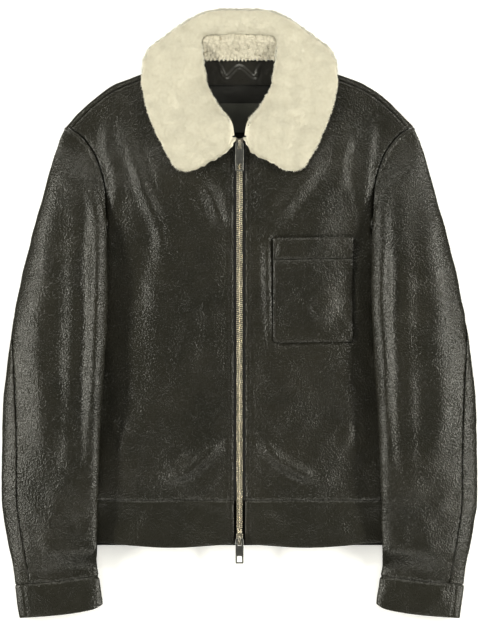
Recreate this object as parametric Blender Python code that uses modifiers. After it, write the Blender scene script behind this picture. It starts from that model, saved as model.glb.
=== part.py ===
"""A zipped leather jacket with a shearling collar, laid flat on its back.

Metres, +Z up. The jacket lies on z = 0 with its front up and its collar toward +Y, and +X is the
wearer's left. Both halves have one cut, so plan tables give (out, y): the distance from the
centre line and the place along the body. Every cloth piece is an outer face worked out from these
tables, with the wall's thickness laid off inward along its normals.
"""

import math
from collections import namedtuple

import bmesh
import bpy
import numpy as np
from mathutils import Euler, Vector

NAME = "leather_jacket"

# Gaps and walls
GAP = 0.0003
SEAM_GAP = 0.0004
ARMHOLE_GAP = 0.0006
LEATHER = 0.0020
BAND = 0.0030
LINING = 0.0012
LABEL = 0.0008
TAPE = 0.0008

# Body lying flat
RIM_RADIUS = 0.0070
RIM_HEIGHT = 2 * RIM_RADIUS
BODY_HALF_WIDTH = 0.2470
SHOULDER_HALF_WIDTH = 0.2338
UNDERARM_Y = 0.0200
SHOULDER_TIP_Y = 0.2520
SIDE_FALL = 2.6
SHOULDER_SLOPE = 0.1300
NECK_RISE = 0.60
ZIP_EDGE = 0.0080
WAIST_SEAM_Y = -0.2522
HEM_Y = -0.3125
VALLEY_DEPTH = 0.0035
VALLEY_WIDTH = 0.0280
TIP_CLEARANCE = 0.0040

# Height of the front's crown along the body: (y, crown)
CROWN = [(-0.3200, 0.0245), (-0.2520, 0.0290), (-0.1500, 0.0350), (0.0300, 0.0400), (0.3400, 0.0370)]

# Plan lines, (out, y), from the collar toward the hem or from the centre outward
SHOULDER_EDGE = [(0.0880, 0.3380), (0.1346, 0.3216), (0.1725, 0.3062), (0.2036, 0.2830), (0.2338, 0.2520)]
NECKLINE = [(0.0080, 0.2280), (0.0300, 0.2550), (0.0580, 0.2850), (0.0800, 0.3200), (0.0857, 0.3311)]
ARMHOLE = [(0.2338, 0.2520), (0.2159, 0.2409), (0.1991, 0.2204), (0.1890, 0.1974), (0.1829, 0.1745),
           (0.1806, 0.1542), (0.1786, 0.1117)]
LOWER_ARMHOLE = [(0.1786, 0.1117), (0.1860, 0.0720), (0.2050, 0.0430), (0.2250, 0.0260), (0.2400, 0.0200)]
UNDERARM_BEND = [(0.2465, 0.0340), (0.2405, 0.0235), (0.2300, 0.0235)]
SLEEVE_EDGE = [(0.2338, 0.2520), (0.2444, 0.2285), (0.2545, 0.1961), (0.2673, 0.1475), (0.2855, 0.0827),
               (0.3004, 0.0179), (0.3105, -0.0469), (0.3179, -0.1117), (0.3198, -0.1750), (0.3206, -0.2490),
               (0.3180, -0.2737), (0.3125, -0.3061), (0.3058, -0.3385), (0.3020, -0.3650)]
INNER_FOLD = [(0.1786, 0.1117), (0.1775, 0.0179), (0.1829, -0.0901), (0.1870, -0.1440), (0.1900, -0.2250),
              (0.1921, -0.3128), (0.1926, -0.3385), (0.1900, -0.3543)]
CUFF_SEAM = [(0.3020, -0.3650), (0.2533, -0.3620), (0.2144, -0.3570), (0.1900, -0.3543)]
CUFF_MOUTH = [(0.2963, -0.4107), (0.2396, -0.4060), (0.1999, -0.3992), (0.1850, -0.3920)]
HEM_LINE = [(0.0080, -0.3108), (0.0965, -0.3156), (0.1924, -0.3088), (0.2400, -0.3080)]
COLLAR_END = [(0.0065, 0.2385), (0.0140, 0.2245), (0.0263, 0.2136), (0.0466, 0.2028), (0.0640, 0.1915),
              (0.0740, 0.1893)]
COLLAR_INNER = [(0.0065, 0.2385), (0.0105, 0.2582), (0.0263, 0.2784), (0.0420, 0.3081), (0.0455, 0.3257),
                (0.0493, 0.3450), (0.0490, 0.3640), (0.0430, 0.3735), (0.0200, 0.3743), (0.0000, 0.3743)]
COLLAR_OUTER = [(0.0740, 0.1893), (0.0850, 0.1925), (0.0979, 0.2123), (0.1067, 0.2285), (0.1140, 0.2447),
                (0.1208, 0.2609), (0.1262, 0.2770), (0.1296, 0.2933), (0.1330, 0.3095), (0.1316, 0.3257),
                (0.1303, 0.3419), (0.1220, 0.3580), (0.1010, 0.3743), (0.0790, 0.3905), (0.0506, 0.4060),
                (0.0280, 0.4107), (0.0000, 0.4107)]
COLLAR_BACK = [(0.0, 0.3743), (0.0, 0.4107)]

# The largest folds of a front, as soft ridges between two plan points
Fold = namedtuple("Fold", "out_from y_from out_to y_to height width")
FOLDS = [
    Fold(0.1789, 0.2650, 0.1667, 0.1960, 0.0022, 0.0090),
    Fold(0.1667, 0.2600, 0.1249, 0.1583, 0.0026, 0.0130),
    Fold(0.1249, 0.1583, 0.0965, 0.0908, 0.0022, 0.0160),
    Fold(0.1160, 0.0600, 0.1020, -0.0400, 0.0020, 0.0200),
    Fold(0.1006, -0.2238, 0.0263, -0.1750, 0.0028, 0.0110),
    Fold(0.1600, -0.1536, 0.1478, -0.1870, 0.0018, 0.0100),
]

# Sleeve: height of its folded edges and its swell from the armhole to the cuff
Ring = namedtuple("Ring", "share edge fold swell")
SLEEVE_RINGS = [
    Ring(0.00, 0.0070, 0.0048, 0.0060),
    Ring(0.10, 0.0110, 0.0090, 0.0150),
    Ring(0.25, 0.0140, 0.0110, 0.0230),
    Ring(0.50, 0.0150, 0.0115, 0.0240),
    Ring(0.75, 0.0140, 0.0105, 0.0210),
    Ring(0.92, 0.0125, 0.0105, 0.0150),
    Ring(1.00, 0.0120, 0.0115, 0.0115),
]
WELT = 0.0015
HEAD_SHARE = 0.10
SIDE_REACH = 0.0300
SLEEVE_LIFT = 0.0014
FOLD_RAISE = 0.0062
HEAD_SPREAD = 0.0180
FOLD_REACH = 0.0150
FOLD_BLEND = 0.0500
HIND_SEAM = [(0.00, -0.14), (0.30, -0.10), (0.43, 0.00), (0.60, 0.20), (1.00, 0.27)]
FORE_SEAM = [(0.00, 1.17), (0.30, 1.22), (1.00, 1.25)]
SEAM_TURN = 0.0060
SEAM_REACH = 0.45
SLEEVE_HEAD_ROWS = (0.0, 0.02, 0.045, 0.075)
SOFT_DOME = 2.3
FLAT_DOME = 5.0
SEAM_DOME = 9.0
CUFF_SWELL = 0.0115
CUFF_PROUD = 0.0008

# Collar
LEAF_THICKNESS = 0.0130
ROLL_THICKNESS = 0.0260
NECK_LEVEL = 0.0085
NECK_DROP = 0.0120
COLLAR_LIFT = 0.0010
SHOULDER_SLANT = 0.9
NECK_SLANT = 0.8
DROP_START = 0.0120
NECK_DROP_START = 0.0080
DROP_REACH = 0.0120
ROLL_START_Y = 0.3250
ROLL_REACH = 0.0400
LEAF_DOME = 2.4
LEAF_TIP = 0.28
LEAF_TIP_SHARE = 0.05
COLLAR_END_ROWS = (0.0, 0.008, 0.025, 0.05)
STAND_HALF_WIDTH = 0.0460
STAND_LOW_Y = 0.3424
STAND_HIGH_Y = 0.3725
STAND_SHOULDER = 0.0040
STAND_FOOT = 0.0020
STAND_CROWN = 0.0010

# Sections of the stand from the roll down to the facing
StandSection = namedtuple("StandSection", "y top narrower")
STAND_SECTIONS = [
    StandSection(STAND_HIGH_Y, 0.0170, 0.0070),
    StandSection(0.3665, 0.0200, 0.0020),
    StandSection(0.3580, 0.0165, 0.0),
    StandSection(0.3474, 0.0105, 0.0),
    StandSection(STAND_LOW_Y, 0.0070, 0.0),
]

# Neck inside
FACING_HALF_WIDTH = 0.0640
FACING_HIGH_Y = 0.3416
FACING_LOW_Y = 0.3083
PUCKER_OUT = 0.0150
PUCKER_Y = 0.3180
PUCKER_WIDTH = 0.0070
PUCKER_LENGTH = 0.0080
PUCKER_HEIGHT = 0.0016
LINING_HALF_WIDTH = 0.0600
LINING_HIGH_Y = 0.3300
LINING_LOW_Y = 0.2000
LABEL_HALF_WIDTH = 0.0300
LABEL_HIGH_Y = 0.2828
LABEL_LOW_Y = 0.2440

# Chest pocket: (out, y) of its corners, on the wearer's left
POCKET_INNER = 0.0456
POCKET_OUTER = 0.1532
POCKET_TOP_Y = 0.1018
POCKET_BAND_Y = 0.0735
POCKET_LOW_Y = -0.0390
POCKET_TILT = 0.0130
POCKET_CORNER = 0.0065
POCKET_CORNER_ROWS = (0.0062, 0.0035, 0.0016, 0.0005, 0.0)
POCKET_WALL = 0.0018
POCKET_LIFT = 0.0008
POCKET_BAND_WALL = 0.0026

# Zip
CHAIN_HALF_WIDTH = 0.0040
CHAIN_THICKNESS = 0.0026
TAPE_HALF_WIDTH = 0.0170
TAPE_DROP = 0.0008
TAPE_HIGH_Y = 0.2300
HINGE_TOP_Y = 0.2285
HINGE_BOTTOM_Y = -0.3045
SLIDER_LENGTH = 0.0150
SLIDER_HALF_WIDTH = 0.0052
SLIDER_FLOOR = 0.0020
SLIDER_RISE = 0.0032
EYE_HALF_LENGTH = 0.0026
EYE_HALF_HEIGHT = 0.0018
ARCH_METAL = 0.0011
ARCH_HALF_WIDTH = 0.0014
ARCH_CORNER = 0.0012
ARCH_ROOT = 0.0010
EYE_CORNER = 0.0006
SLIDER_ROUNDING = 0.0012
PULL_HALF_WIDTH = 0.0055
PULL_THICKNESS = 0.0018
PULL_BAR = 0.0011
PULL_TOP_LENGTH = 0.0387
PULL_BOTTOM_LENGTH = 0.0340
PULL_SLOT_HALF_WIDTH = 0.0027
PULL_SLOT_END = 0.0085
WINDOW_HALF_WIDTH = 0.0032
WINDOW_LENGTH = 0.0080
WINDOW_END = 0.0022
PULL_CORNER = 0.0019
SLOT_CORNER = 0.0008


def clear_scene():
    for item in list(bpy.data.objects):
        bpy.data.objects.remove(item, do_unlink=True)


def make_collection(name):
    group = bpy.data.collections.new(name)
    bpy.context.scene.collection.children.link(group)
    return group


def material(name, colour, roughness, metallic=0.0):
    made = bpy.data.materials.new(name)
    made.use_nodes = True
    shader = made.node_tree.nodes["Principled BSDF"]
    shader.inputs["Base Color"].default_value = (*colour, 1.0)
    shader.inputs["Roughness"].default_value = roughness
    shader.inputs["Metallic"].default_value = metallic
    return made


# ---------------------------------------------------------------- plan curves and heights

def smooth(share):
    share = np.clip(share, 0.0, 1.0)
    return share * share * (3.0 - 2.0 * share)


def curve(points, steps=16):
    """A smooth plan line through the points, as a dense array."""
    knots = np.array(points, float)
    padded = np.vstack([2 * knots[0] - knots[1], knots, 2 * knots[-1] - knots[-2]])
    step = np.linspace(0.0, 1.0, steps, endpoint=False)[:, None]
    spans = []
    for before, start, end, after in zip(padded, padded[1:], padded[2:], padded[3:]):
        spans.append(0.5 * (2 * start + (end - before) * step
                            + (2 * before - 5 * start + 4 * end - after) * step ** 2
                            + (3 * start - before - 3 * end + after) * step ** 3))
    return np.vstack(spans + [knots[-1:]])


def lengths(line):
    return np.concatenate([[0.0], np.cumsum(np.linalg.norm(np.diff(line, axis=0), axis=1))])


def along(line, share):
    """Plan points at these shares of the line's length."""
    run = lengths(line)
    place = np.asarray(share) * run[-1]
    return np.stack([np.interp(place, run, line[:, k]) for k in (0, 1)], axis=-1)


def table(rows, value, column=1):
    rows = sorted(rows)
    return np.interp(value, [row[0] for row in rows], [row[column] for row in rows])


def inset(line, distance):
    """The line moved to its right-hand side, as one walks along it."""
    heading = np.gradient(line, axis=0)
    heading /= np.linalg.norm(heading, axis=1)[:, None]
    return line + distance * np.stack([heading[:, 1], -heading[:, 0]], axis=1)


def coons(top, bottom, near, far, across, down):
    """A plan patch between four lines: top and bottom run across, near and far run down."""
    a = np.asarray(across)[..., None]
    d = np.asarray(down)[..., None]
    ruled = ((1 - d) * along(top, across) + d * along(bottom, across)
             + (1 - a) * along(near, down) + a * along(far, down))
    corners = ((1 - a) * (1 - d) * top[0] + a * (1 - d) * top[-1]
               + (1 - a) * d * bottom[0] + a * d * bottom[-1])
    return ruled - corners


def half_width(y):
    """The body's half width, from the shoulder tip down to the underarm and straight below."""
    share = np.clip((y - UNDERARM_Y) / (SHOULDER_TIP_Y - UNDERARM_Y), 0.0, 1.0)
    return BODY_HALF_WIDTH + share * (SHOULDER_HALF_WIDTH - BODY_HALF_WIDTH)


SHOULDER = curve(SHOULDER_EDGE)


def shoulder_y(out):
    return np.interp(out, SHOULDER[:, 0], SHOULDER[:, 1])


def fold_height(out, y):
    height = 0.0
    for fold in FOLDS:
        start = np.array([fold.out_from, fold.y_from])
        run = np.array([fold.out_to, fold.y_to]) - start
        share = ((out - start[0]) * run[0] + (y - start[1]) * run[1]) / (run @ run)
        side = ((out - start[0]) * run[1] - (y - start[1]) * run[0]) / math.sqrt(run @ run)
        taper = smooth(share / 0.35 + 0.4) * smooth((1.0 - share) / 0.35 + 0.4)
        height = height + fold.height * taper * np.exp(-(side / fold.width) ** 2)
    return height


def front_height(out, y):
    """Height of the front's outer face, from the zip to the top of the side rim."""
    out = np.abs(out)
    reach = half_width(y) - RIM_RADIUS
    fall = 1.0 - np.clip(out / reach, 0.0, 1.0) ** SIDE_FALL
    below = (shoulder_y(out) - y) * 0.8 - RIM_RADIUS + NECK_RISE * np.maximum(SHOULDER[0, 0] - out, 0.0)
    rise = smooth(below / SHOULDER_SLOPE)
    valley = VALLEY_DEPTH * np.exp(-(out / VALLEY_WIDTH) ** 2)
    crown = table(CROWN, y) - RIM_HEIGHT
    return RIM_HEIGHT + (crown * fall - valley + fold_height(out, y) * fall) * rise


# ---------------------------------------------------------------- walls and solids

def surface_grid(surface, across, down, outward):
    """Points and unit normals of surface(across, down), outward being 1 or -1."""
    points = surface(*np.meshgrid(across, down))
    facet = np.cross(points[1:, 1:] - points[:-1, :-1], points[:-1, 1:] - points[1:, :-1]) * outward
    normals = np.zeros_like(points)
    for rows in (np.s_[:-1], np.s_[1:]):
        for columns in (np.s_[:-1], np.s_[1:]):
            normals[rows, columns] += facet
    return points, normals / np.linalg.norm(normals, axis=-1)[..., None]


def patch(surface, across, down, outward, curtains="", reach=0.0):
    """Points and unit normals on a grid whose borders fit the pieces beside it.

    A border in curtains (top, bottom, near, far) has its normals turned into the upright plane
    that holds the border, so two pieces keep their gap through the whole wall. Where the surface
    runs on past its near and far borders, their normals are measured this far to each side.
    """
    points, normals = surface_grid(surface, across, down, outward)
    if reach:
        for column in (0, -1):
            beside = across[column] + np.array([-reach, 0.0, reach])
            normals[:, column] = surface_grid(surface, beside, down, outward)[1][:, 1]
    borders = {"top": np.s_[0, :], "bottom": np.s_[-1, :], "near": np.s_[:, 0], "far": np.s_[:, -1]}
    for name in curtains.split():
        cut = borders[name]
        run = np.gradient(points[cut], axis=0)
        level = np.stack([run[:, 1], -run[:, 0], np.zeros(len(run))], axis=1)
        level /= np.maximum(np.linalg.norm(level, axis=1), 1e-9)[:, None]
        turned = normals[cut] - (normals[cut] * level).sum(axis=1)[:, None] * level
        normals[cut] = turned / np.linalg.norm(turned, axis=1)[:, None]
    return points, normals


def grid(bm, points):
    rows, columns = points.shape[:2]
    made = bmesh.ops.create_grid(bm, x_segments=columns - 1, y_segments=rows - 1, size=0.5)["verts"]
    for vertex in made:
        column = round((vertex.co.x + 0.5) * (columns - 1))
        row = round((vertex.co.y + 0.5) * (rows - 1))
        vertex.co = points[row, column]
        yield vertex, row, column


def finish(name, bm, finish_material, group):
    bmesh.ops.recalc_face_normals(bm, faces=bm.faces)
    mesh = bpy.data.meshes.new(name)
    bm.to_mesh(mesh)
    bm.free()
    mesh.shade_smooth()
    mesh.set_sharp_from_angle(angle=math.radians(50))
    mesh.materials.append(finish_material)
    made = bpy.data.objects.new(name, mesh)
    group.objects.link(made)
    return made


def wall(name, patches, thickness, finish_material, group):
    """Cloth of this thickness under outer faces that join where their border points meet."""
    bm = bmesh.new()
    inward = bm.verts.layers.float_vector.new("inward")
    for points, normals in patches:
        for vertex, row, column in grid(bm, points):
            vertex[inward] = Vector(-thickness * normals[row, column])
    bmesh.ops.remove_doubles(bm, verts=bm.verts, dist=2e-6)
    made = bmesh.ops.extrude_face_region(bm, geom=bm.faces[:], use_keep_orig=True)["geom"]
    for vertex in made:
        if isinstance(vertex, bmesh.types.BMVert):
            vertex.co += vertex[inward]
    return finish(name, bm, finish_material, group)


def lofted_solid(name, rings, finish_material, group):
    """A solid lofted through closed rings; each end is closed across, from one side to the other."""
    bm = bmesh.new()
    loops = [[bm.verts.new(point) for point in ring] for ring in rings]
    count = len(loops[0])
    for near, far in zip(loops, loops[1:]):
        for index in range(count):
            bm.faces.new((near[index], near[index - 1], far[index - 1], far[index]))
    for loop in (loops[0], loops[-1]):
        for index in range(count // 2):
            corners = dict.fromkeys((loop[index], loop[index + 1], loop[-index - 1], loop[-index]))
            bm.faces.new(corners)
    return finish(name, bm, finish_material, group)


def mirrored(surface, side):
    """The same surface on one half of the jacket, side being 1 for the wearer's left."""
    def placed(across, down):
        points = surface(across, down)
        return np.stack([side * points[..., 0], points[..., 1], points[..., 2]], axis=-1)
    return placed


def lifted(plan, height):
    return np.concatenate([plan, np.broadcast_to(height, plan.shape[:-1])[..., None]], axis=-1)


def even(start, end, count):
    return np.linspace(start, end, count)


# ---------------------------------------------------------------- fronts, back and hem

def mitred(line, end):
    """The line with its last quarter bent so that it ends at this point."""
    weight = smooth((np.linspace(0.0, 1.0, len(line)) - 0.75) / 0.25)[:, None]
    return line + weight * (end - line[-1])


ARMHOLE_LINE = curve(ARMHOLE)
ARMHOLE_RUN = lengths(ARMHOLE_LINE)


def on_armhole(distance):
    return along(ARMHOLE_LINE, distance / ARMHOLE_RUN[-1])


FORWARD_END = on_armhole(RIM_RADIUS + SEAM_GAP) + ARMHOLE_GAP * np.array([-0.5, 0.8])
FORWARD_SEAM = mitred(inset(SHOULDER, RIM_RADIUS + ARMHOLE_GAP), FORWARD_END)
FRONT_TOP = np.vstack([curve(NECKLINE)[:-1], FORWARD_SEAM])
BELOW_TIP = inset(ARMHOLE_LINE, SEAM_GAP)[ARMHOLE_RUN > RIM_RADIUS + TIP_CLEARANCE]
FRONT_ARMHOLE = np.vstack([FORWARD_SEAM[-1:], BELOW_TIP, curve(LOWER_ARMHOLE)[1:]])
SIDE_TOP = np.array([(BODY_HALF_WIDTH - RIM_RADIUS, UNDERARM_Y),
                     (BODY_HALF_WIDTH - RIM_RADIUS, WAIST_SEAM_Y)])
FRONT_SIDE = np.vstack([FRONT_ARMHOLE, SIDE_TOP[1:]])
FRONT_CENTRE = np.array([(ZIP_EDGE, NECKLINE[0][1]), (ZIP_EDGE, WAIST_SEAM_Y)])
FRONT_LOW = np.array([FRONT_CENTRE[1], SIDE_TOP[1]])
SIDE_SHARE = lengths(FRONT_ARMHOLE)[-1] / lengths(FRONT_SIDE)[-1]


def front_surface(across, down):
    across = np.clip(across, 0.0, 1.0)
    down = np.clip(down, 0.0, 1.0)
    plan = coons(FRONT_TOP, FRONT_LOW, FRONT_CENTRE, FRONT_SIDE, across, down)
    return lifted(plan, front_height(plan[..., 0], plan[..., 1]))


RIM_ARC = RIM_RADIUS * math.pi / 2


def rim_strip(edge, low):
    """The rounded side below an edge line: across 0 is its top, 1 its foot at height low."""
    straight = RIM_RADIUS - low

    def surface(across, down):
        across = np.clip(across, 0.0, 1.0)
        down = np.clip(down, 0.0, 1.0)
        plan = along(edge, down)
        run = across * (RIM_ARC + straight)
        angle = np.clip(run / RIM_RADIUS, 0.0, math.pi / 2)
        drop = np.clip(run - RIM_ARC, 0.0, straight)
        top = front_height(plan[..., 0], plan[..., 1]) - RIM_HEIGHT
        out = plan[..., 0] + RIM_RADIUS * np.sin(angle)
        height = RIM_RADIUS + RIM_RADIUS * np.cos(angle) - drop + top * (1.0 - across)
        return np.stack([out, plan[..., 1], height], axis=-1)
    return surface


def rim_shares(low):
    return np.append(even(0.0, RIM_ARC / (RIM_ARC + RIM_RADIUS - low), 5), 1.0)


def front(name, side, leather, group):
    across = even(0.0, 1.0, 16)
    upper = even(0.0, SIDE_SHARE, 17)
    lower = even(SIDE_SHARE, 1.0, 13)
    surface = mirrored(front_surface, side)
    down = np.append(upper, lower[1:])
    main = patch(surface, across, down, side, "top far bottom")
    low = LEATHER + GAP
    rim = patch(mirrored(rim_strip(SIDE_TOP, low), side), rim_shares(low), even(0.0, 1.0, 13), side,
                "top bottom")
    main[1][len(upper) - 1:, -1] = rim[1][:, 0]
    return wall(name, [main, rim], LEATHER, leather, group)


HEM_FRONT_LOW = curve(HEM_LINE)
HEM_SIDE = np.array([(BODY_HALF_WIDTH - RIM_RADIUS, WAIST_SEAM_Y - SEAM_GAP), tuple(HEM_FRONT_LOW[-1])])
HEM_CENTRE = np.array([(ZIP_EDGE, WAIST_SEAM_Y - SEAM_GAP), tuple(HEM_FRONT_LOW[0])])
HEM_TOP = np.array([HEM_CENTRE[0], HEM_SIDE[0]])


def hem_surface(across, down):
    across = np.clip(across, 0.0, 1.0)
    down = np.clip(down, 0.0, 1.0)
    plan = coons(HEM_TOP, HEM_FRONT_LOW, HEM_CENTRE, HEM_SIDE, across, down)
    return lifted(plan, front_height(plan[..., 0], plan[..., 1]))


def hem_front(name, side, leather, group):
    rows = even(0.0, 1.0, 5)
    main = patch(mirrored(hem_surface, side), even(0.0, 1.0, 15), rows, side, "top")
    low = BAND + GAP
    rim = patch(mirrored(rim_strip(HEM_SIDE, low), side), rim_shares(low), rows, side, "top")
    main[1][:, -1] = rim[1][:, 0]
    return wall(name, [main, rim], BAND, leather, group)


BACK_NECK = [(0.0, 0.3370), (0.0600, 0.3360)]
RIM_FOOT = mitred(inset(SHOULDER, RIM_RADIUS), on_armhole(RIM_RADIUS))
BACK_TOP = np.vstack([np.array(BACK_NECK), RIM_FOOT])
BACK_SIDE = np.array([tuple(RIM_FOOT[-1]), (BODY_HALF_WIDTH, UNDERARM_Y), (BODY_HALF_WIDTH, WAIST_SEAM_Y)])
BACK_CENTRE = np.array([(0.0, BACK_NECK[0][1]), (0.0, WAIST_SEAM_Y)])
BACK_LOW = np.array([(0.0, WAIST_SEAM_Y), (BODY_HALF_WIDTH, WAIST_SEAM_Y)])
RIM_START = lengths(np.vstack([np.array(BACK_NECK), RIM_FOOT[:1]]))[-1] / lengths(BACK_TOP)[-1]


def back_surface(across, down):
    across = np.clip(across, 0.0, 1.0)
    down = np.clip(down, 0.0, 1.0)
    return lifted(coons(BACK_TOP, BACK_LOW, BACK_CENTRE, BACK_SIDE, across, down), 0.0)


def shoulder_rim(across, turn):
    """The back's wrap over the shoulder: turn 0 lies on the floor, 1 is the forward seam."""
    across = np.clip(across, 0.0, 1.0)
    foot = along(RIM_FOOT, across)
    edge = along(SHOULDER, across)
    angle = (np.clip(turn, 0.0, 1.0) - 0.5) * math.pi
    plan = foot + (edge - foot) * np.cos(angle)[..., None]
    return lifted(plan, RIM_RADIUS + RIM_RADIUS * np.sin(angle))


def back(name, leather, group):
    over = even(0.0, 1.0, 9)
    inner = even(0.0, RIM_START, 3)
    outer = RIM_START + (1.0 - RIM_START) * over
    across = np.append(inner, outer[1:])
    pieces = []
    for side in (1, -1):
        flat = patch(mirrored(back_surface, side), across, even(0.0, 1.0, 5), -side, "far")
        rim = patch(mirrored(shoulder_rim, side), over, even(0.0, 0.97, 7), side, "far")
        flat[1][...] = (0.0, 0.0, -1.0)
        rim[1][0] = (0.0, 0.0, -1.0)
        pieces += [flat, rim]
    return wall(name, pieces, LEATHER, leather, group)


def hem_back(name, leather, group):
    top = WAIST_SEAM_Y - SEAM_GAP

    def surface(across, down):
        x = (2.0 * across - 1.0) * BODY_HALF_WIDTH
        y = top + (HEM_Y - top) * down
        return np.stack([x, y, np.zeros_like(x)], axis=-1)
    plate = patch(surface, even(0.0, 1.0, 9), even(0.0, 1.0, 2), -1)
    plate[1][...] = (0.0, 0.0, -1.0)
    return wall(name, [plate], BAND, leather, group)


# ---------------------------------------------------------------- sleeves and cuffs

TIP_FOOT = RIM_FOOT[-1]
UPPER_SEAM = inset(ARMHOLE_LINE, -ARMHOLE_GAP)
UNDERARM_TURN = curve([(half_width(0.0520) + SEAM_GAP, 0.0520)] + UNDERARM_BEND + LOWER_ARMHOLE[::-1][1:-1]
                      + [tuple(UPPER_SEAM[-1])])
UNDER_SEAM = np.vstack([UPPER_SEAM[:1], (TIP_FOOT[0] + SEAM_GAP, TIP_FOOT[1] - SEAM_GAP), UNDERARM_TURN])
OUTER_RAIL = np.vstack([UPPER_SEAM[:1], curve(SLEEVE_EDGE)[1:]])
INNER_RAIL = np.vstack([UPPER_SEAM[-1:], curve(INNER_FOLD)[1:]])
CUFF_TOP = curve(CUFF_SEAM)


def ring_value(share, column):
    return table(SLEEVE_RINGS, share, column)


def body_lift(out, y):
    """Lowest height the sleeve's under side may have: over the front, down the rim, on the floor."""
    above = smooth((y - UNDERARM_Y) / 0.040)
    foot = half_width(y) + SIDE_REACH * (1.0 - above) + SEAM_GAP
    over = smooth((foot - out) / (SIDE_REACH + 0.0040))
    past_hem = smooth((y + 0.3450) / 0.0290)
    return over * past_hem * (front_height(out, y) + SLEEVE_LIFT)


def swelling(share, power):
    """0 at both ends and 1 between, the fuller the higher the power."""
    return (1.0 - np.abs(2.0 * share - 1.0) ** power) ** (1.0 / power)


def sleeve_surface(turn, share):
    """Outer face of a sleeve. turn 0..1 is the upper side from the outer edge to the inner fold,
    1..2 the under side back to the outer edge; share runs from the armhole to the cuff."""
    share = np.clip(share, 0.0, 1.0)
    turn = np.mod(turn, 2.0)
    inward = (1.0 - np.cos(math.pi * turn)) / 2.0
    upper = coons(UPPER_SEAM, CUFF_TOP, OUTER_RAIL, INNER_RAIL, inward, share)
    under = coons(UNDER_SEAM, CUFF_TOP, OUTER_RAIL, INNER_RAIL, inward, share)
    beside_armhole = smooth(inward / 0.30) * smooth((0.75 - inward) / 0.25)
    spread = (1.0 - np.exp(-share / 0.05)) * (1.0 - smooth(share / 0.6))
    under[..., 0] += HEAD_SPREAD * beside_armhole * spread
    plan = np.where((turn <= 1.0)[..., None], upper, under)
    out, y = plan[..., 0], plan[..., 1]
    fold_line = along(INNER_RAIL, share)
    fold_height_here = body_lift(fold_line[..., 0], fold_line[..., 1]) + ring_value(share, 2)
    middle = ring_value(share, 1) * (1.0 - inward) + fold_height_here * inward
    domed = middle + ring_value(share, 3) * swelling(inward, SOFT_DOME)
    raised = WELT + FOLD_RAISE * smooth((inward - 0.90) / 0.08)
    seam = middle + (front_height(out, y) + raised - middle) * swelling(inward, SEAM_DOME)
    joined = smooth(share / (HEAD_SHARE * (1.0 - 0.8 * inward)))
    top = seam + (domed - seam) * joined
    lift = body_lift(out, y)
    low = middle - (middle - lift) * swelling(inward, FLAT_DOME)
    return lifted(plan, np.where(turn <= 1.0, top, np.maximum(low, lift)))


def sleeve_piece(name, side, start, end, columns, leather, group):
    """One half of a sleeve between two seams, given as turns along its length."""
    def surface(across, share):
        limited = np.clip(share, 0.0, 1.0)
        low, high = start(limited), end(limited)
        return sleeve_surface(low + (high - low) * across, share)
    down = np.append(SLEEVE_HEAD_ROWS, even(0.11, 1.0, 20))
    across = even(0.0, 1.0, columns)
    piece = patch(mirrored(surface, side), across, down, -side, "top bottom", reach=SEAM_REACH / columns)
    plain = patch(mirrored(surface, side), across, down, -side, "bottom", reach=SEAM_REACH / columns)
    seam = sleeve_surface(start(0.0) + (end(0.0) - start(0.0)) * across, 0.0 * across)
    from_fold = np.linalg.norm(seam[:, :2] - np.array(INNER_FOLD[0]), axis=1)
    weight = smooth((from_fold - FOLD_REACH) / FOLD_BLEND)[:, None]
    blended = plain[1][0] + weight * (piece[1][0] - plain[1][0])
    piece[1][0] = blended / np.linalg.norm(blended, axis=1)[:, None]
    return wall(name, [piece], LEATHER, leather, group)


def sleeve(side, label, leather, group):
    def hind(share):
        return table(HIND_SEAM, share)

    def fore(share):
        return table(FORE_SEAM, share)
    half = SEAM_TURN / 2
    sleeve_piece("sleeve_top_" + label, side, lambda s: hind(s) + half, lambda s: fore(s) - half, 15,
                 leather, group)
    sleeve_piece("sleeve_under_" + label, side, lambda s: fore(s) + half, lambda s: hind(s) + 2.0 - half, 13,
                 leather, group)


def cuff_surface(turn, down):
    turn = np.mod(turn, 2.0)
    down = np.clip(down, 0.0, 1.0)
    inward = (1.0 - np.cos(math.pi * turn)) / 2.0
    top = along(CUFF_TOP, inward)
    mouth = along(curve(CUFF_MOUTH), inward)
    plan = top + (mouth - top) * down[..., None]
    out = plan[..., 0] + CUFF_PROUD * np.cos(math.pi * turn) * smooth(down / 0.1)
    y = plan[..., 1] - SEAM_GAP * (1.0 - down)
    middle = ring_value(1.0, 1) * (1.0 - inward) + ring_value(1.0, 2) * inward
    rise = CUFF_SWELL * swelling(inward, SOFT_DOME) + CUFF_PROUD * smooth(down / 0.1)
    low = middle * (1.0 - swelling(inward, FLAT_DOME))
    return np.stack([out, y, np.where(turn <= 1.0, middle + rise, low)], axis=-1)


def cuff(side, label, leather, group):
    turns = even(0.0, 2.0, 29)
    piece = patch(mirrored(cuff_surface, side), turns, even(0.0, 1.0, 4), -side, "top",
                  reach=SEAM_REACH / len(turns))
    piece[0][:, -1] = piece[0][:, 0]
    piece[1][:, -1] = piece[1][:, 0]
    wall("cuff_" + label, [piece], BAND, leather, group)


# ---------------------------------------------------------------- collar and neck

END_LINE = curve(COLLAR_END)
INNER_LINE = curve(COLLAR_INNER)
OUTER_LINE = curve(COLLAR_OUTER)
BACK_LINE = np.array(COLLAR_BACK)
NECK = curve(NECKLINE)


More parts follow.
